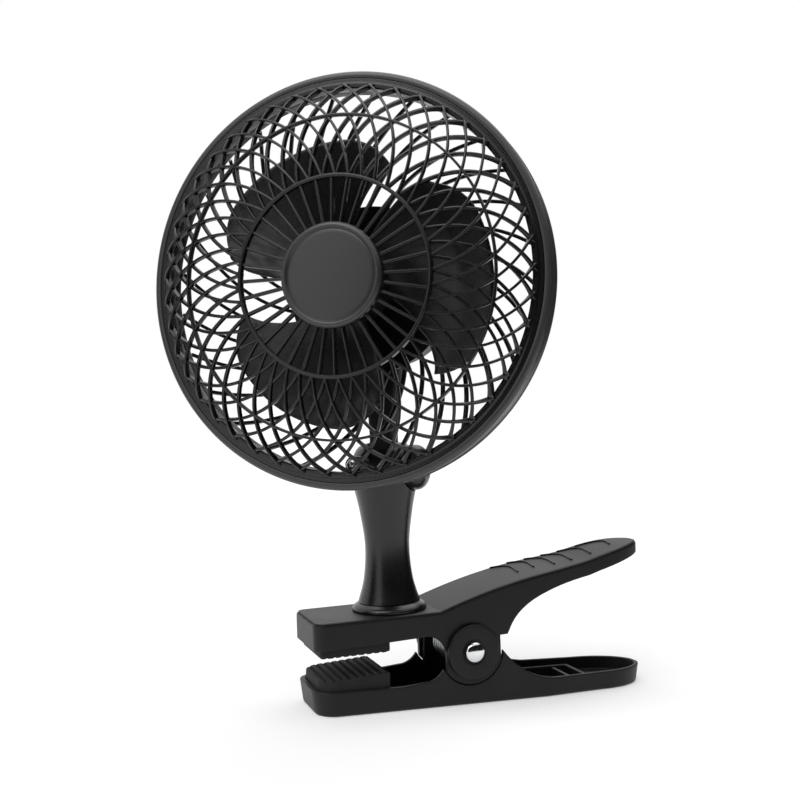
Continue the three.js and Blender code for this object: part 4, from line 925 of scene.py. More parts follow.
@dataclass
class UpperLever(Lever):
    """The upper jaw and handle, open below, with round ears at the pivot. Heights from the pivot."""

    corner: float = 5.4
    jaw_top: float = 19.6
    underside: float = 7.2
    handle_top: float = 42.0
    ear: float = 15.4
    throat_z: float = -1.6
    notch: float = -12.6
    heel: float = 14.3
    throat_start: float = -21.08
    step_inset: float = 1.0
    step: float = 0.85
    arc_ends: tuple[Triple, ...] = (  # x, y and the bend back of each arc
        (31.3, -4.8, 9), (40.5, -3.6, 9), (49.7, -8.0, 9),
        (58.7, -8.8, 9), (69.4, -8.4, 11), (83.0, -3.4, 15),
    )

    def top(self, x: Array) -> Array:
        """Height of the top line: flat over the jaw, two long curves and the lifted tip."""
        rise, bow, lift = (-14.5, self.jaw_top), (21.7, 29.6), (64, 36.4)
        end = (self.tip, self.handle_top)
        curves = np.concatenate(
            [
                np.array([(self.jaw_front, self.jaw_top), rise]),
                bezier([rise, (-9, 21.4), (6, 26.5), bow]),
                bezier([bow, (36.7, 33.0), (51.3, 34.0), lift]),
                bezier([lift, (77.8, 39.8), (88.2, self.handle_top), end]),
            ]
        )
        return np.interp(x, curves[:, 0], curves[:, 1])

    def edge(self, x: Array) -> Array:
        """Height of the cheeks' lower edge: jaw, throat, round ear and the handle's underside."""
        reach = np.maximum(self.throat_radius**2 - (x - self.throat_x) ** 2, 0)
        throat = self.throat_z + np.sqrt(reach)
        height = np.interp(x, [self.jaw_front, self.throat_start], [self.underside, 8.74])
        height = np.where(x > self.throat_start, throat, height)
        lift = (64, 28.8)
        under = np.concatenate(
            [
                bezier([(18.5, 5.8), (23.5, 20), (40.8, 25.6), lift]),
                bezier([lift, (81.3, 33.3), (self.tip, 36.5)]),
            ]
        )
        handle = np.interp(x, np.r_[self.heel, under[:, 0]], np.r_[5.7, under[:, 1]])
        height = np.where(x > self.heel, handle, height)
        ear = -np.sqrt(np.maximum(self.ear**2 - x**2, 0))
        return np.where((x > self.notch) & (x <= self.heel), ear, height)

    def body(self) -> Shell:
        """The lever: U-shaped sections with the plate above, solid at both ends and over the pad."""
        x = self.stations(self.notch, self.heel)
        top = self.top(x)
        plate = top - eased(np.minimum(x - self.jaw_front, self.tip - x), 1.6, 1.6)
        inside, seat = top - self.wall, self.underside + 3.5
        points = self.hull(x, self.edge(x), plate, inside, seat, 0.012, -15)
        shell = Shell(UPPER).grid(points, capped=True)
        bore, near, far = 3.4, 18.15, 20.45
        ear = np.array([[bore, near], [self.ear, near], [self.ear, far], [bore, far]])
        for side in (-1, 1):
            shell.turned(rounded(ear, 0.5, 5), 144, turn("x", 90 * side))
        return shell

    def on_top(self, x: Array, y: Array) -> Array:
        """Points on the top surface at x and y."""
        return np.stack([x, y, self.top(x)], -1)

    def edge_step(self) -> Shell:
        """A cutter for the step round the top, which stands out of the sides as a panel does."""
        inset = self.step_inset
        swing = np.linspace(0, math.pi / 2, 40)[:-1]
        x = np.concatenate(
            [
                self.jaw_front + inset + np.array([0.02, 0.4, 1.0, 2.0]),
                np.linspace(self.jaw_front + inset + 3, self.tip - self.tip_length, 110),
                self.tip - self.tip_length + (self.tip_length - inset) * np.sin(swing)[1:],
            ]
        )
        y = self.plan(x, self.corner, inset)
        path = np.concatenate([self.on_top(x, -y), self.on_top(x[::-1], y[::-1])])
        out, above = 3, 2
        step = np.array([[0, -self.step], [out, -self.step], [out, above], [0, above]])
        return Shell(UPPER).grid(swept(path, np.array([0, 0, 1.0]), step), (True, True))

    def thumb_arcs(self) -> Shell:
        """Cutters for the thumb rest's arcs, each from its near end over to the far edge.

        A share s runs from 0 at the near end to 1, and x is near + 4 s - back s^6, so the arc bows
        towards the tip and then turns back along the edge.
        """
        shell = Shell(UPPER)
        share = np.linspace(0, 1, 61)
        slot = np.array([[-0.4, -0.9], [0.4, -0.9], [0.4, 0.6], [-0.4, 0.6]])
        for near_x, near_y, back in self.arc_ends:
            far = float(self.plan(np.array([near_x]), self.corner)[0]) - 2.7
            y = near_y + (far - near_y) * share
            x = near_x + 4.0 * share - back * share**6
            shell.grid(swept(self.on_top(x, y), np.array([0, 0, 1.0]), slot), capped=True)
        return shell

    def make(self, bench: Bench) -> None:
        """Makes the upper lever and its pad."""
        finishes = bench.finishes
        thing = self.body().object("upper_lever")
        cut(thing, self.edge_step(), self.thumb_arcs())
        bench.piece(thing, "upper_lever", Body.UPPER, Slot.PLASTIC, finishes.matte, "upper_jaw")
        x = self.pad_places()
        face = np.full_like(x, self.underside - 3.8)
        pad = Shell(UPPER).grid(self.pad(10.4, face, x, -1), capped=True)
        bench.piece(pad, "upper_grip_pad", Body.UPPER, Slot.RUBBER, finishes.rubber, "upper_pad")


# ---------------------------------------------------------------- pivot
@dataclass
class Pivot:
    """The rivet with its bright dome, the round caps beside the cheeks, and the spring."""

    cap_radius: float = 12.6
    cap_inner: float = 20.8
    cap_outer: float = 23.0
    pin_radius: float = 3.0
    head_radius: float = 4.7
    head_rise: float = 2.4
    spring_radius: float = 8.2
    wire: float = 1.1
    spring_length: float = 16.0
    spring_turns: int = 6

    def cap(self) -> Array:
        """A disc with a rounded edge and a shallow seat for the rivet, as (radius, height)."""
        profile = np.array(
            [
                [3.3, self.cap_inner], [self.cap_radius, self.cap_inner],
                [self.cap_radius, self.cap_outer],
                [5.9, self.cap_outer], [5.3, self.cap_outer - 0.3], [3.3, self.cap_outer - 0.3],
            ]
        )
        return rounded(profile, np.array([0.1, 0.3, 0.9, 0.4, 0.3, 0.1]), 7)

    def rivet(self) -> Array:
        """A shank with a domed head at its high end, as (radius, height)."""
        seat, lip, bevel = self.cap_outer + 0.3, 0.35, 0.5
        end = -seat - self.head_rise
        swing = np.linspace(0, math.pi / 2, 16)
        height = seat + lip + (self.head_rise - lip) * np.sin(swing)
        dome = np.stack([self.head_radius * np.cos(swing), height], -1)
        foot = [[0, end], [self.pin_radius - bevel, end]]
        foot += [[self.pin_radius, end + bevel], [self.pin_radius, seat]]
        return np.concatenate([foot, [[self.head_radius - 0.25, seat]], dome])

    def spring(self) -> Array:
        """Two straight legs and a coil: radius cos a, share of the length, radius sin a."""
        ends = [np.array([28.0, -21.0]), np.array([24.0, 23.0])]
        reach = [float(np.hypot(*end)) for end in ends]
        wraps = [math.atan2(end[1], end[0]) for end in ends]
        start = wraps[0] + math.acos(self.spring_radius / reach[0])
        stop = wraps[1] - math.acos(self.spring_radius / reach[1]) + self.spring_turns * TAU
        share = np.linspace(0, 1, 300)
        angle = start + (stop - start) * share
        radius, length = self.spring_radius, self.spring_length
        coil = np.stack(
            [radius * np.cos(angle), (share - 0.5) * length, radius * np.sin(angle)], -1
        )
        (x, z), (other_x, other_z) = ends
        tips = np.array([[x, -length / 2, z], [other_x, length / 2, other_z]])
        along = np.linspace(0, 1, 14)[:, None]
        first = tips[0] + (coil[0] - tips[0]) * along[:-1]
        last = coil[-1] + (tips[1] - coil[-1]) * along[1:]
        return np.concatenate([first, coil, last])

    def make(self, bench: Bench) -> None:
        """Makes the pivot's pieces."""
        finishes = bench.finishes
        for name, angle in (("near", 90), ("far", -90)):
            shell = Shell(PIVOT @ turn("x", angle)).turned(self.cap(), 128)
            bench.piece(
                shell, f"pivot_disc_{name}", Body.LOWER, Slot.PLASTIC, finishes.matte, f"pivot_cap_{name}"
            )
        shell = Shell(PIVOT @ turn("x", 90)).turned(self.rivet(), 72)
        bench.piece(shell, "pivot_rivet_pin", Body.LOWER, Slot.CHROME, finishes.chrome, "pivot_rivet")
        seat = self.cap_outer + 0.3
        collar = rounded(
            np.array([[3.15, seat], [4.7, seat], [4.7, seat + 1.9], [3.15, seat + 1.9]]), 0.4, 5
        )
        shell = Shell(PIVOT @ turn("x", -90)).turned(collar, 64)
        bench.piece(shell, "rivet_ring", Body.LOWER, Slot.CHROME, finishes.chrome, "rivet_collar")
        wire = swept(self.spring(), np.array([0, 1.0, 0]), circle(self.wire, 12))
        shell = Shell(PIVOT).grid(wire, capped=True)
        half, height = self.spring_length / 2 * MM, PIVOT_HEIGHT * MM
        twist = Bend(Body.UPPER, (0, -half, height), (0, half, height))
        bench.piece(
            shell, "clip_spring", Body.LOWER, Slot.STEEL, finishes.steel, "torsion_spring", bend=twist
        )


# ---------------------------------------------------------------- neck
@dataclass
class Neck:
    """The waisted column, the collar that it turns on, and the tilt joint at its fork."""

    foot: float = 23.6
    rise: float = 62.0
    crown: float = 15.3
    fork_rise: float = 12.0
    slot_half: float = 6.0
    face: float = 12.0
    cap_radius: float = 10.5
    cap_length: float = 9.4

    def outline(self) -> Array:
        """The column's side as (radius, height): a spline through its waist, then the crown."""
        marks = np.array(
            [[14.5, 0], [11.5, 10.92], [10.4, 26], [12.3, 41.6], [15.0, 55], [self.crown, self.rise]]
        )
        smooth = catmull(marks, 14)
        smooth[:, 1] += self.foot
        swing = np.linspace(0, math.pi / 2, 12)[1:]
        crown = np.stack(
            [self.crown * np.cos(swing) ** 0.42, TILT_AXIS + self.fork_rise * np.sin(swing)], -1
        )
        return np.concatenate([[[0, self.foot], [14.2, self.foot]], smooth, crown])

    def column(self) -> bpy.types.Object:
        """The column with its fork slot and the seats for the cap and the screw's head."""
        thing = Shell(NECK).turned(self.outline(), 144).object("neck_stem")
        floor = TILT_AXIS - 6.0
        slot = block((-self.slot_half, self.slot_half), (-30, 30), (floor, TILT_AXIS + 30), NECK)
        pocket = self.fork_rise - 1

        def recess(radius: float, start: float, end: float) -> Shell:
            """A round cutter along the tilt axis."""
            return Shell(SIDEWAYS).turned(
                np.array([[0, start], [radius, start], [radius, end], [0, end]], float), 72
            )

        cut(
            thing, slot, recess(pocket, -self.slot_half, self.slot_half),
            recess(pocket, self.face, 30), recess(5.5, -30, -self.face),
        )
        return thing

    def collar(self) -> Array:
        """The flared collar as (radius, height)."""
        bore, foot, base, top = 2.5, 17.4, 19.9, 23.3
        profile = np.array(
            [
                [bore, base], [foot, base], [foot, base + 1.0], [16.6, base + 2.1],
                [15.2, top - 0.4], [14.5, top], [bore, top],
            ]
        )
        return rounded(profile, np.array([0.1, 0.3, 0.7, 1.0, 0.5, 0.3, 0.1]), 6)

    def tilt_cap(self) -> Array:
        """The smooth boss over the tilt nut, hollow inside, as (radius, height)."""
        start = self.face + 0.3
        swing = np.linspace(0, math.pi / 2, 22)
        straight = self.cap_length * 0.34
        dome = np.stack(
            [
                self.cap_radius * np.cos(swing) ** 0.72,
                start + straight + (self.cap_length - straight) * np.sin(swing),
            ],
            -1,
        )
        inside = [[0, start + 6], [5.6, start + 6], [5.6, start]]
        rim = [[self.cap_radius - 0.3, start], [self.cap_radius, start + 0.3]]
        return np.concatenate([inside, rim, dome])

    def screw(self) -> Array:
        """The tilt screw: a domed head and its shank, as (radius, height) along the axis."""
        seat, end = self.face + 0.3, self.face + 5.7
        wide, shank = 5.0, 2.0
        swing = np.linspace(math.pi / 2, 0, 12)
        head = np.stack([wide * np.cos(swing), -seat - 1.0 - 2.2 * np.sin(swing)], -1)
        rest = [[wide, -seat], [shank, -seat], [shank, end - 0.4], [shank - 0.4, end], [0, end]]
        return np.concatenate([head, rest])

    def make(self, bench: Bench) -> None:
        """Makes the neck's pieces."""
        finishes = bench.finishes
        bench.piece(self.column(), "neck_stem", Body.NECK, Slot.PLASTIC, finishes.satin, "neck_column")
        shell = Shell(COLLAR_AXIS).turned(self.collar(), 128)
        bench.piece(shell, "neck_foot_ring", Body.UPPER, Slot.PLASTIC, finishes.satin, "neck_collar")
        shell = Shell(SIDEWAYS).turned(self.tilt_cap(), 112)
        bench.piece(shell, "tilt_boss", Body.NECK, Slot.PLASTIC, finishes.satin, "tilt_cap")
        thing = Shell(SIDEWAYS).turned(self.screw(), 64).object("tilt_bolt")
        depth = (-self.face - 4, -self.face - 1.9)
        cut(thing, *cross(3.2, 0.55, depth, SIDEWAYS @ turn("z", 30)))
        bench.piece(thing, "tilt_bolt", Body.NECK, Slot.STEEL, finishes.steel, "tilt_screw")
        bench.keep(finishes.steel, Slot.STEEL, "swivel_screw", "swivel_washer", "swivel_nut", "tilt_nut")


# ---------------------------------------------------------------- cage
@dataclass
class Cage:
    """Both grilles, the band that clamps them, the badge and the screw at the foot."""

    lip: float = 86.6
    lip_inner: float = 81.9
    rise: float = 13.6
    ring_one: float = 42.2
    ring_two: float = 68.5
    spokes: int = 36
    ribs: int = 45
    rear_ribs: int = 28
    plate: float = 37.0
    badge: float = 22.3
    screw_out: float = 79.0  # the clamping screw's distance below the axis

    def dome(self, radius: Array | float) -> Array:
        """Height of the front: rise (1 - (radius / reach)^2.4)^0.39."""
        return self.rise * np.maximum(1 - (np.asarray(radius) / (self.lip - 2.3)) ** 2.4, 0) ** 0.39

    def rear(self, radius: Array | float) -> Array:
        """Height of the rear cage: -10 - 24 share^0.5, share from the lip in to the plate."""
        share = np.clip((self.lip - np.asarray(radius)) / (self.lip - self.plate), 0, 1)
        return -10 - 24 * share**0.5

    def rib(self, radius: Array, angle: Array, height: Array, slope: Array, profile: Array) -> Array:
        """A rib on a domed face: its path by radius and angle, standing square to the face.

        Args:
            radius: Distance from the axis along the rib.
            angle: Angle in radians along the rib.
            height: Height along the rib.
            slope: The face's rise for each step outwards.
            profile: The rib's section (across, up).

        Returns:
            Points (n, k, 3).
        """
        out = np.stack([np.cos(angle), np.sin(angle), np.zeros_like(angle)], -1)
        path = out * radius[:, None] + np.array([0, 0, 1.0]) * height[:, None]
        rise = np.array([0, 0, 1.0]) - out * np.clip(slope, -6, 6)[:, None]
        return swept(path, rise / np.linalg.norm(rise, axis=1, keepdims=True), profile)

    def section(self, width: float, depth: float) -> Array:
        """A rib's section, flat behind and rounded in front, its crest at 0."""
        half = width / 2
        corners = np.array([[-half * 0.86, -depth], [-half, 0], [half, 0], [half * 0.86, -depth]])
        return rounded(corners, np.array([0.15, half * 0.95, half * 0.95, 0.15]), 4)

    def front(self) -> Shell:
        """The front grille: spokes, two crossing families of ribs, two rings and the lip."""
        shell = Shell(HEAD)
        radius = np.linspace(self.badge - 1.5, self.ring_one + 0.3, 8)
        slope = np.gradient(self.dome(radius), radius)
        spoke = self.rib(radius, radius * 0, self.dome(radius), slope, self.section(1.5, 2.7))
        for points in copies(spoke, self.spokes):
            shell.grid(points, capped=True)
        rows = np.array([self.ring_one, 52, 61, self.ring_two, 73.8, 78.8, 83.4])
        fit = np.polyfit(rows, np.arange(7.0), 3)
        start, end = self.ring_one - 0.2, self.lip - 2.303
        radius = start + (end - start) * (1 - (1 - np.linspace(0, 1, 40)) ** 2.2)
        slope = np.gradient(self.dome(radius), radius)
        angle = np.radians(4.0) * np.polyval(fit, radius)
        for way, sunk, width in ((1, 0.0, 1.25), (-1, 0.8, 1.5)):
            height = self.dome(radius) - sunk
            rib = self.rib(radius, way * angle, height, slope, self.section(width, 2.3))
            for points in copies(rib, self.ribs):
                shell.grid(points, capped=True)
        for place, width, proud in ((self.ring_one, 1.8, 0.9), (self.ring_two, 1.15, 0.55)):
            crest = float(self.dome(place)) + proud
            ring = self.section(width, 3.0) + np.array([place, crest])
            shell.turned(ring, 240)
        seat = np.array([[17.3, 10.6], [21.6, 10.6], [21.6, 13.35], [17.3, 13.35]])
        shell.turned(rounded(seat, 0.4, 4), 160)
        inner = self.lip_inner
        flange = np.array(
            [[inner, -4.4], [86.5, -4.4], [86.5, 0.2], [84.9, 0.2], [84.4, 1.0], [inner, 1.0]]
        )
        shell.turned(rounded(flange, np.array([0.3, 0.3, 0.15, 0.2, 0.5, 0.7]), 5), 256)
        return shell

    def back(self) -> Shell:
        """The rear grille: swept ribs between the motor's plate and the lip."""
        shell = Shell(HEAD)
        radius = np.linspace(self.plate - 0.6, self.lip - 2.2, 26)
        height = self.rear(radius)
        slope = np.gradient(height, radius)
        angle = -np.radians(34) * (radius - self.plate) / (self.lip - self.plate)
        rib = self.rib(radius, angle, height, slope * 0.5, self.section(1.7, 2.4))
        for points in copies(rib, self.rear_ribs):
            shell.grid(points, capped=True)
        disc = np.array([[8.8, -36.4], [38.5, -36.4], [38.5, -34.2], [36.5, -34.0], [8.8, -34.0]])
        shell.turned(rounded(disc, np.array([0.2, 0.7, 0.5, 0.5, 0.2]), 5), 160)
        boss = np.array(
            [[7.3, -36.4], [10.0, -36.4], [10.0, -29.0], [6.0, -29.0], [6.0, -31.2], [7.3, -31.2]]
        )
        shell.turned(rounded(boss, np.array([0.2, 0.3, 0.5, 0.3, 0.1, 0.1]), 4), 96)
        lip = np.array([[82.1, -10.1], [86.5, -10.1], [86.5, -5.0], [82.1, -5.0]])
        shell.turned(rounded(lip, 0.5, 5), 256)
        back = float(self.rear(self.screw_out)) - 1.6
        boss = np.array([[0, back], [3.6, back], [3.6, -8], [1.7, -8], [1.7, back + 1], [0, back + 1]])
        boss = rounded(boss, np.array([0, 0.5, 0.4, 0.2, 0, 0]), 4)
        shell.turned(boss, 48, move(0, -self.screw_out, 0))
        return shell

    def band(self) -> Array:
        """The clamping band as (radius, height): bead, groove, flared wall, rolled rear edge."""
        profile = np.array(
            [
                [86.75, -1.4], [86.75, 0.1], [87.6, 0.3], [88.9, 0.15], [89.9, -1.0], [89.9, -2.6],
                [89.3, -3.2], [89.3, -7.5], [89.5, -10.6], [90.0, -11.2], [90.0, -12.2],
                [83.9, -12.2], [83.9, -10.4], [86.9, -10.4],
            ]
        )
        radii = np.array([0.1, 0.15, 0.5, 1.2, 1.0, 0.5, 0.4, 1.5, 0.6, 0.4, 0.5, 0.4, 0.3, 0.3])
        return rounded(profile, radii, 6)

    def badge_disc(self) -> Array:
        """The bare badge as (radius, height): a crowned disc inside a rounded bead."""
        swing = np.linspace(0, 1, 14)
        crown = np.stack([18.9 * swing, 15.75 - 0.35 * swing**2], -1)
        bead = np.array(
            [
                [19.15, 15.3], [19.45, 15.55], [19.9, 16.3], [20.9, 16.4], [21.9, 15.7],
                [self.badge, 14.7], [22.1, 13.8], [0, 13.7],
            ]
        )
        radii = np.array([0.1, 0.2, 0.5, 0.7, 0.8, 0.6, 0.3, 0])
        return np.concatenate([crown, rounded(bead, radii, 6, False)])

    def screw(self) -> bpy.types.Object:
        """The clamping screw with its cross recess."""
        back, seat = float(self.rear(self.screw_out)), -7.7
        wide, shank = 2.6, 1.4
        swing = np.linspace(0, math.pi / 2, 10)
        head = np.stack([wide * np.cos(swing), seat + 0.5 + 1.5 * np.sin(swing)], -1)
        stem = [[0, back], [shank, back + 0.3], [shank, seat], [wide, seat]]
        place = move(0, -self.screw_out, 0)
        shell = Shell(HEAD).turned(np.concatenate([stem, head]), 48, place)
        thing = shell.object("cage_clamp_screw")
        cut(thing, *cross(1.5, 0.3, (seat + 1.0, seat + 3), HEAD @ place))
        return thing

    def make(self, bench: Bench) -> None:
        """Makes the cage's pieces."""
        finishes = bench.finishes
        plastic = (Body.HEAD, Slot.PLASTIC)
        bench.piece(self.front(), "front_guard", *plastic, finishes.satin, "front_grille")
        # The rear guard wears the darker copy of the black plastic, which is painted shade.
        bench.piece(self.back(), "rear_guard", *plastic, finishes.shade, "rear_grille")
        # The band wears a lighter copy of the black plastic, which is painted highlight.
        shell = Shell(HEAD).turned(self.band(), 288)
        bench.piece(shell, "rim_band", *plastic, finishes.rim, "rim_ring")
        # The badge wears a lighter copy of the black plastic, which is painted reflected light.
        shell = Shell(HEAD).turned(self.badge_disc(), 192)
        bench.piece(shell, "badge_blank", Body.HEAD, Slot.GLOSS, finishes.badge, "hub_badge")
        bench.piece(
            self.screw(), "cage_clamp_screw", Body.HEAD, Slot.CHROME, finishes.chrome, "cage_screw"
        )


# ---------------------------------------------------------------- motor
@dataclass
class Motor:
    """The motor's housing with its arm, the knob, the gland and the dressed works inside."""

    radius: float = 34.0
    front: float = -36.7
    back: float = -70.7
    wall: float = 2.2
    dome: float = 8.0

    def housing(self) -> Array:
        """The housing's closed section as (radius, height), bored for the knob's spindle."""
        swing = np.linspace(0, math.pi / 2, 14)
        reach = self.radius - self.dome + self.dome * np.sin(swing)
        curve = np.stack([reach, self.back + self.dome * 1.3 * (1 - np.cos(swing))], -1)
        inside = self.radius - self.wall
        cavity = np.array(
            [
                [self.radius, self.front + 0.4], [self.radius - 0.4, self.front], [inside, self.front],
                [inside, self.back + self.wall + self.dome], [inside - self.dome, self.back + self.wall],
                [3.3, self.back + self.wall], [3.3, self.back],
            ]
        )
        return np.concatenate([curve, cavity])

    def arm(self) -> Shell:
        """The arm down to the tilt joint: square-shouldered ovals stacked along Y.

        An oval is (w |cos a|^0.3, d |sin a|^0.3) with the signs of cos and sin.
        """
        swing = np.linspace(-math.pi / 2, 0, 20)
        lug, thick, axis, square = 10.1, 6.5, -HEAD_RISE, 0.3
        y = np.concatenate([axis + lug * np.sin(swing), np.linspace(axis + 1, -30, 40)])
        flare = bezier([(-5.5, axis + 15), (-6.5, -42), (-13, -28)], 60)
        width = np.interp(y, flare[:, 1], -flare[:, 0])
        eye = np.sqrt(np.maximum(lug**2 - (y - axis) ** 2, 0))
        deep = np.where(y < axis, eye, np.maximum(eye, thick))
        angle = np.arange(56) * TAU / 56
        cosine, sine = np.cos(angle), np.sin(angle)
        x = np.sign(cosine) * np.abs(cosine) ** square * width[:, None]
        z = np.sign(sine) * np.abs(sine) ** square * deep[:, None] - HEAD_FORWARD
        points = np.stack([x, np.broadcast_to(y[:, None], x.shape), z], -1)
        return Shell(HEAD).grid(points, capped=True)

    def knob(self) -> Array:
        """The speed knob as (radius, height), its spindle forward."""
        face = self.back - 0.3
        profile = np.array(
            [
                [0, face - 8.7], [9.2, face - 8.7], [10.5, face - 7.8], [11.0, face], [3.0, face],
                [3.0, face + 2.8], [0, face + 2.8],
            ]
        )
        return rounded(profile, np.array([0, 0.9, 0.7, 0.4, 0.1, 0.2, 0]), 5)

    def gland(self) -> Array:
        """The strain relief as (radius, height), ringed and bored for the lead."""
        face = self.back - 0.3
        rings = [[3.2 + 0.13 * i + 0.35 * (i % 2), face - 7.6 + 0.62 * i] for i in range(9)]
        flange, neck, bore = 5.4, 3.4, 2.1
        rest = [[flange, face - 2], [flange, face], [neck, face], [neck, face + 3.2]]
        rest += [[bore, face + 3.2], [bore, face - 8], [3.1, face - 8]]
        return rounded(np.array(rings + rest), 0.22, 4)

    def make(self, bench: Bench) -> None:
        """Makes the motor's pieces and dresses its works."""
        finishes = bench.finishes
        shell = Shell(HEAD).turned(self.housing(), 144)
        bench.piece(shell, "motor_shell", Body.HEAD, Slot.PLASTIC, finishes.matte, "motor_housing")
        bench.piece(self.arm(), "motor_arm", Body.HEAD, Slot.PLASTIC, finishes.matte)
        shell = Shell(HEAD).turned(self.knob(), 240, flutes=(30, 0.5))
        pointer = block((-0.7, 0.7), (3.5, 9.3), (self.back - 9.3, self.back - 8.4), HEAD, 0.25)
        bench.piece(shell, "knob_body", Body.KNOB, Slot.PLASTIC, finishes.satin, "speed_knob")
        bench.piece(pointer, "knob_pointer", Body.KNOB, Slot.PLASTIC, finishes.satin)
        shell = Shell(HEAD).turned(self.gland(), 64, move(0, -22, 0))
        bench.piece(shell, "lead_gland", Body.HEAD, Slot.RUBBER, finishes.rubber, "cable_gland")
        bench.keep(finishes.laminations, Slot.STEEL, "stator_core", "rotor_core")
        bench.keep(finishes.copper, Slot.COPPER, *(f"stator_coil_{i}" for i in range(1, 5)))
        screws = [f"motor_screw_{i}" for i in range(1, 5)]
        bench.keep(finishes.steel, Slot.STEEL, "motor_bracket", *screws, "motor_shaft")
        bench.keep(finishes.bronze, Slot.BRASS, "front_bearing", "rear_bearing")
        bench.keep(finishes.gloss, Slot.GLOSS, "switch_body")


@dataclass
class Impeller:
    """Three broad blades on a cup-shaped hub, and the nut that holds them."""

    hub: float = 16.0
    front: float = 4.0
    back: float = -21.0
    tip: float = 64.0
    thickness: float = 1.7
    blades: int = 3
    parked: float = 18.0  # where the first blade stands

    def blade(self) -> Array:
        """One blade as a closed sheet over share along the arc and out to the tip.

        Radius is drawn in near both corners of the tip; height rises from the trailing side. Each
        side stands half the thickness off the middle surface, eased to nothing at the edges.
        """
        along = 0.5 - 0.5 * np.cos(np.linspace(0, math.pi, 45))
        outward = np.sin(np.linspace(0, math.pi / 2, 30))
        u, v = np.meshgrid(along, outward, indexing="ij")
        root = self.hub - 1
        rounding = np.minimum(u, 1 - u)
        lobe = 1 - 0.16 * v**3 * np.maximum(0, 1 - rounding / 0.24) ** 2
        radius = (root + (self.tip - root) * v) * lobe
        arc = np.radians(78 + 18 * np.sin(v * math.pi / 2))
        angle = (u - 0.5) * arc - 0.34 * v
        height = self.back + 3 + 17 * u * (1 - 0.18 * v) + 2.5 * v
        middle = np.stack([radius * np.cos(angle), radius * np.sin(angle), height], -1)
        normal = np.cross(np.gradient(middle, axis=0), np.gradient(middle, axis=1))
        normal /= np.linalg.norm(normal, axis=-1, keepdims=True)
        edge = np.minimum.reduce([u * 60, (1 - u) * 60, (1 - v) * 50])
        swell = np.sqrt(1 - np.clip(1 - edge / 1.0, 0, 1) ** 2)[..., None]
        offset = normal * swell * self.thickness / 2
        return np.concatenate([middle + offset, (middle - offset)[::-1]], 0)

    def cup(self) -> Array:
        """The hub as (radius, height), open behind."""
        profile = np.array(
            [
                [2.65, -19.0], [5.5, -19.0], [5.5, 2.0], [14.0, 1.4], [14.0, self.back],
                [self.hub, self.back], [self.hub, self.front - 2], [self.hub - 2, self.front],
                [2.65, self.front],
            ]
        )
        return rounded(profile, np.array([0.1, 0.3, 0.8, 0.8, 0.2, 0.3, 1.8, 1.8, 0.2]), 6)

    def nut(self) -> Array:
        """The domed nut as (radius, height), blind on the shaft."""
        profile = np.array(
            [[2.65, 4.3], [7.0, 4.3], [7.0, 7.9], [4.6, 10.1], [0, 10.7], [0, 9.7], [2.65, 9.7]]
        )
        return rounded(profile, np.array([0.1, 0.3, 1.2, 1.4, 0, 0, 0.1]), 5)

    def make(self, bench: Bench) -> None:
        """Makes the impeller and its nut."""
        finishes = bench.finishes
        shell = Shell(HEAD).turned(self.cup(), 128)
        for points in copies(self.blade(), self.blades, self.parked):
            shell.grid(points, (True, False))
        bench.piece(shell, "impeller_blades", Body.ROTOR, Slot.GLOSS, finishes.gloss, "impeller")
        shell = Shell(HEAD).turned(self.nut(), 64, flutes=(12, 0.6))
        bench.piece(shell, "blade_nut", Body.ROTOR, Slot.PLASTIC, finishes.satin, "impeller_nut")


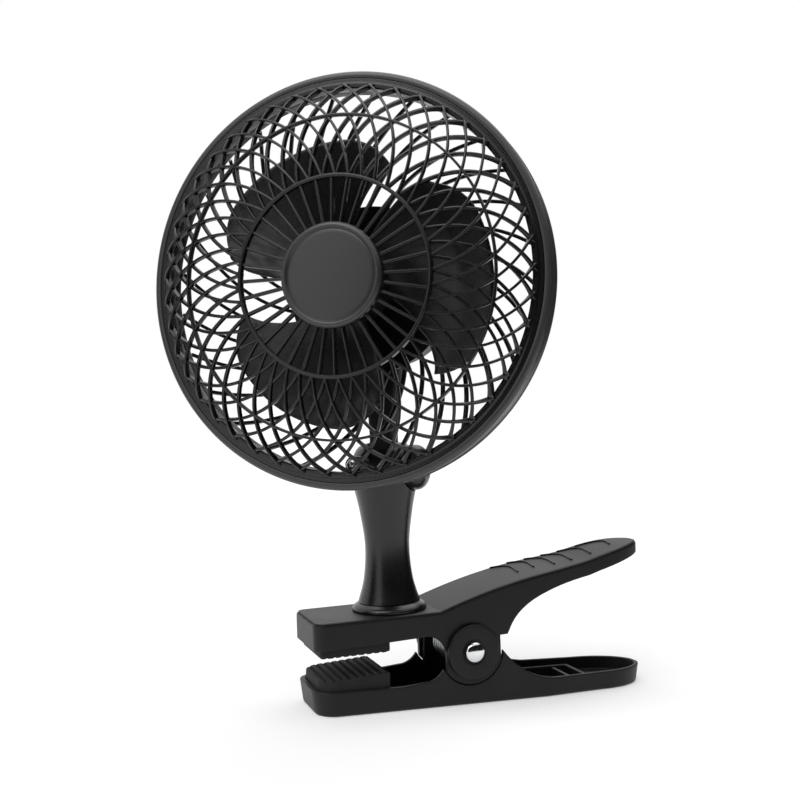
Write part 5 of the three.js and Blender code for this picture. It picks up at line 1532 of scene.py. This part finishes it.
# ---------------------------------------------------------------- studio
@dataclass
class Studio:
    """Floor, light and the camera that stands where the photograph was taken."""

    level: float = 0.42  # the world's share of the light on the object
    lens: float = 49.5
    shift: Span = (-28.3 / 800, 1.24 / 800)
    spot: Triple = (-194.85, -490.85, 139.28)
    cards: tuple[Span, ...] = ((-196, -168), (-142, 46))  # azimuths, degrees
    card_radius: float = 620.0
    card_heights: Span = (-20.0, 520.0)
    right: Triple = (0.93872, -0.34465, 0.00278)
    back: Triple = (-0.34465, -0.93873, -0.00214)

    def camera(self) -> None:
        """Makes the scene's camera."""
        data = bpy.data.cameras.new("camera")
        data.lens, data.sensor_width, data.clip_start = self.lens, 36.0, 0.01
        data.shift_x, data.shift_y = self.shift
        right = np.array(self.right) / np.linalg.norm(self.right)
        back = np.array(self.back) - right * (right @ np.array(self.back))
        back /= np.linalg.norm(back)
        matrix = np.eye(4)
        matrix[:3, :3] = np.stack([right, np.cross(back, right), back], 1)
        matrix[:3, 3] = np.array(self.spot) * MM
        thing = bpy.data.objects.new("camera", data)
        thing.matrix_world = Matrix(matrix.tolist())
        bpy.context.scene.collection.objects.link(thing)
        bpy.context.scene.camera = thing

    def world(self) -> None:
        """A white surround, which lights matte surfaces at a plain level."""
        sheet = Sheet("studio", bpy.data.worlds)
        bpy.context.scene.world = sheet.material
        direct = sheet.seen_by("Camera", "Glossy", "Transmission")
        strength = direct * (1 - self.level) + self.level
        light = sheet.node("ShaderNodeBackground", {}, {"Color": (1, 1, 1, 1), "Strength": strength})
        out = sheet.tree.nodes.new("ShaderNodeOutputWorld")
        sheet.tree.links.new(light.socket, out.inputs["Surface"])

    def lamp(self, name: str, toward: Triple, spread: float, power: float) -> None:
        """An even soft lamp that stands in one direction, spread degrees wide."""
        data = bpy.data.lights.new(name, "SUN")
        data.angle, data.energy = math.radians(spread), power
        thing = bpy.data.objects.new(name, data)
        thing.rotation_euler = Vector(toward).to_track_quat("Z", "Y").to_euler()
        bpy.context.scene.collection.objects.link(thing)

    def floor(self) -> None:
        """A pale floor that fades into the white surround and keeps the shadow."""
        sheet = Sheet("floor_paper")
        where = sheet.spot()
        fibre = sheet.noise(where, 600, 3)
        colour = sheet.blend(fibre, (0.79, 0.79, 0.79), (0.82, 0.82, 0.82))
        sheet.surface(
            Base_Color=colour, Roughness=0.95, Specular_IOR_Level=0.0,
            Emission_Color=(1, 1, 1, 1), Emission_Strength=sheet.seen_by("Camera", "Glossy") * 0.3,
        )
        swing = np.linspace(0, TAU, 97)[:-1]
        ring = np.stack([np.cos(swing), np.sin(swing), swing * 0], -1)
        rows = [ring * radius - np.array([0, 0, 0.05]) for radius in (0.0, 300.0, 3000.0, 20000.0)]
        thing = Shell(ROW).grid(np.array(rows)).object("floor")
        thing.data.materials.append(sheet.material)
        thing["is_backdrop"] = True

    def flag(self) -> None:
        """Dark cards round the camera's side, seen only in reflections, with a bright gap between."""
        sheet = Sheet("dark_card")
        sheet.surface(Base_Color=(0.02, 0.02, 0.02, 1), Roughness=1.0, Specular_IOR_Level=0.0)
        shell = Shell(ROW)
        for first, last in self.cards:
            angle = np.radians(np.linspace(first, last, 24))
            rim = np.stack([np.cos(angle), np.sin(angle), angle * 0], -1) * self.card_radius
            rows = [rim + np.array([0, 0, height]) for height in self.card_heights]
            shell.grid(np.array(rows), (False, False))
        thing = shell.object("dark_card")
        thing.data.materials.append(sheet.material)
        thing.visible_camera = thing.visible_diffuse = thing.visible_shadow = False
        thing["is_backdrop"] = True

    def make(self) -> None:
        """Sets the whole studio up."""
        bpy.context.scene.view_settings.view_transform = "Standard"
        self.camera()
        self.world()
        self.floor()
        self.flag()
        self.lamp("key", (-0.75, -0.5, 1.1), 42, 1.3)
        self.lamp("top", (0.2, 0.25, 1.0), 60, 0.9)


def corners() -> list[list[float]]:
    """The shown object's lowest and highest corner, as plain numbers."""
    return [[float(value) for value in corner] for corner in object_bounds()]


def main() -> None:
    """Builds the fan sub-assembly by sub-assembly, then the studio."""
    logging.basicConfig(level=logging.INFO, format="%(message)s")
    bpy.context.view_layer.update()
    bench = Bench(Finishes())
    for part in (LowerLever(), UpperLever(), Pivot(), Neck(), Cage(), Motor(), Impeller()):
        part.make(bench)
    Studio().make()


if __name__ == "__main__":
    main()
